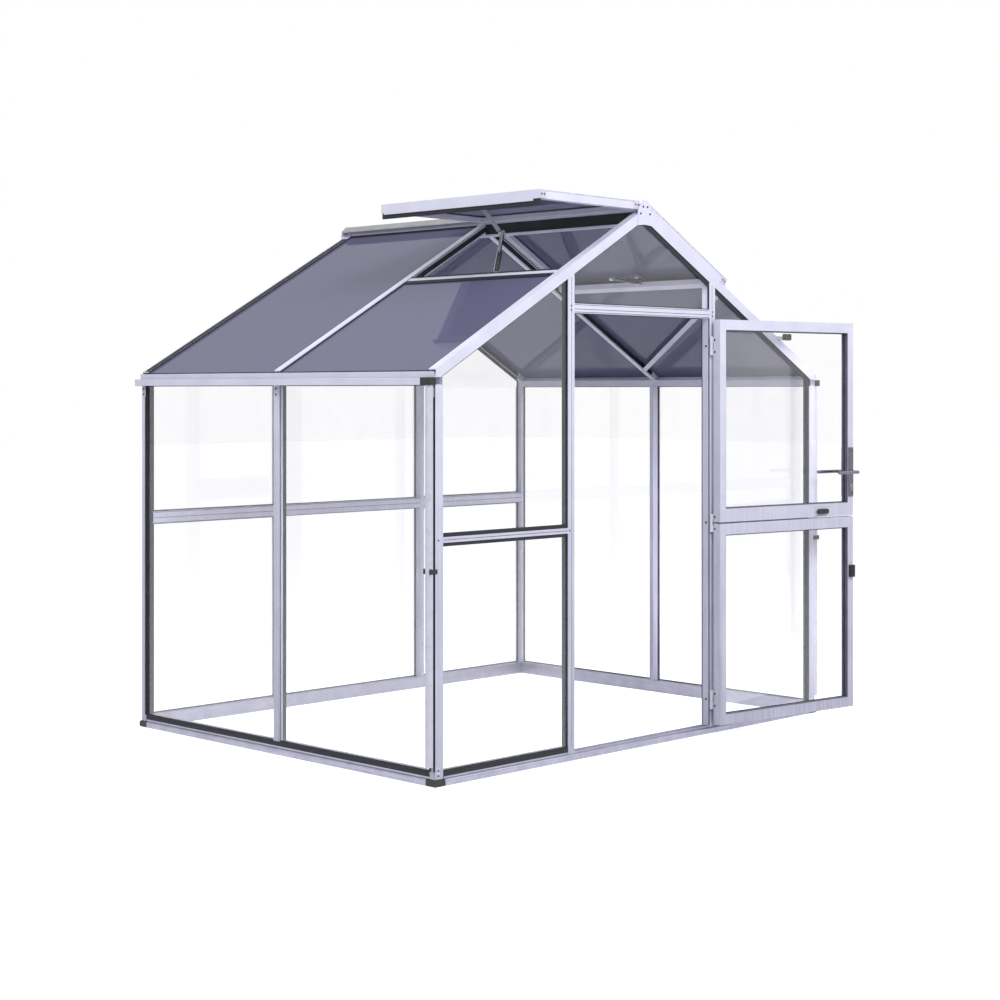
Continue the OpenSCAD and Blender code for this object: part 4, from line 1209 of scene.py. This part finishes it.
def make_floor():
    """A pale floor, lifted to the backdrop's white by a glow that only sight rays get."""
    size = 40.0
    t = np.linspace(-size, size, 9)
    x, y = np.meshgrid(t, t, indexing="ij")
    points = np.stack([x.ravel(), y.ravel(), np.full(x.size, -0.0005)], 1)
    material, tree, output, coords = started("pale_floor")
    # trowel clouds about 600 mm across
    cloud = noise(tree, coords, 0.6, 3.0)
    base = ramp(tree, cloud, 0.3, 0.7, "#c6c6ca", "#cacace")
    shader = add(tree, "BsdfPrincipled", {"Base Color": base, "Roughness": 0.9})
    shader.inputs["Specular IOR Level"].default_value = 0.1
    glow = add(tree, "Emission", {"Strength": add_seen(tree, 0.0, FLOOR_LIFT)})
    both = add(tree, "AddShader", {0: shader.outputs["BSDF"], 1: glow.outputs["Emission"]})
    tree.links.new(both.outputs["Shader"], output.inputs["Surface"])
    faces = [face[::-1] for face in quads(9, 9, False, False)]
    floor = linked("floor", points.tolist(), faces, material)


def make_world():
    """An even studio: white where the camera, a mirror or a pane looks past the object, softer as light."""
    world = bpy.data.worlds.new("studio")
    world.use_nodes = True
    tree = world.node_tree
    tree.nodes.clear()
    output = add(tree, "OutputWorld")
    strength = add_seen(tree, WORLD_LIGHT, 1.0)
    light = add(tree, "Background", {"Color": linear("#ffffff"), "Strength": strength})
    tree.links.new(light.outputs["Background"], output.inputs["Surface"])
    bpy.context.scene.world = world


def make_lamp(name, place, aim, size, power):
    """A soft square lamp at a place, aimed at a point."""
    light = bpy.data.lights.new(name, "AREA")
    light.shape = "SQUARE"
    light.size = size
    light.energy = power
    lamp = bpy.data.objects.new(name, light)
    bpy.context.scene.collection.objects.link(lamp)
    lamp.location = place
    lamp.rotation_euler = (Vector(aim) - Vector(place)).to_track_quat("-Z", "Y").to_euler()


def make_camera():
    """The camera: level, seen from the left front corner, with its picture shifted down a little."""
    lens = bpy.data.cameras.new("camera")
    lens.lens = 70.06
    lens.sensor_width = 36.0
    lens.shift_y = -0.1088
    lens.clip_end = 200.0
    camera = bpy.data.objects.new("camera", lens)
    camera.location = (-6.293, -5.382, 1.506)
    camera.rotation_euler = (math.radians(90.0), 0.0, math.radians(-45.211))
    bpy.context.scene.collection.objects.link(camera)
    bpy.context.scene.camera = camera


def set_stage():
    """Floor, world, three soft lamps and the camera."""
    make_floor()
    make_world()
    make_lamp("key_lamp", (-1.8, -5.6, 6.0), (0.0, 0.3, 1.6), 3.0, 370.0)
    make_lamp("left_lamp", (-4.8, 0.6, 4.8), (-1.0, 0.8, 1.7), 3.0, 130.0)
    make_lamp("fill_lamp", (4.5, -4.0, 4.6), (0.0, 0.5, 1.6), 3.0, 70.0)
    make_camera()
    bpy.context.scene.view_settings.view_transform = "Standard"


def build():
    """Everything beside the construction's own parts, then their finishes."""
    for make in (glaze_walls, glaze_roof, glaze_vents):
        make()
    glaze_leaf("lower_leaf", LOWER_Z[0] + 45.4, LOWER_Z[1] - 49.4)
    glaze_leaf("upper_leaf", UPPER_Z[0] + 59.4, UPPER_Z[1] - 45.4)
    for make in (line_walls, cover_corners, line_rafters, cover_rear_rafters, groove_bars, line_doorway):
        make()
    for make in (vent_flaps, door_holdback, hinge_caps, cover_sills, rib_threshold, gussets):
        make()
    for make in (corner_foot_plates, rail_screws, ridge_screws, vent_end_caps, vent_edge_strips):
        make()
    for make in (vent_sill_seals_and_shade, outlet_ribs, pipe_clip_bolts, gutter_end_screws):
        make()
    fit_opener("left_opener", -1, VENT_OPEN, -60.0, 118.0)
    fit_opener("right_opener", 1, 0.0, -190.0, -90.0)
    for make in (hinge_details, lock_details, latch_details, button_details, keeper_details, leaf_seals):
        make()
    finish_metal_parts()


build()
set_stage()
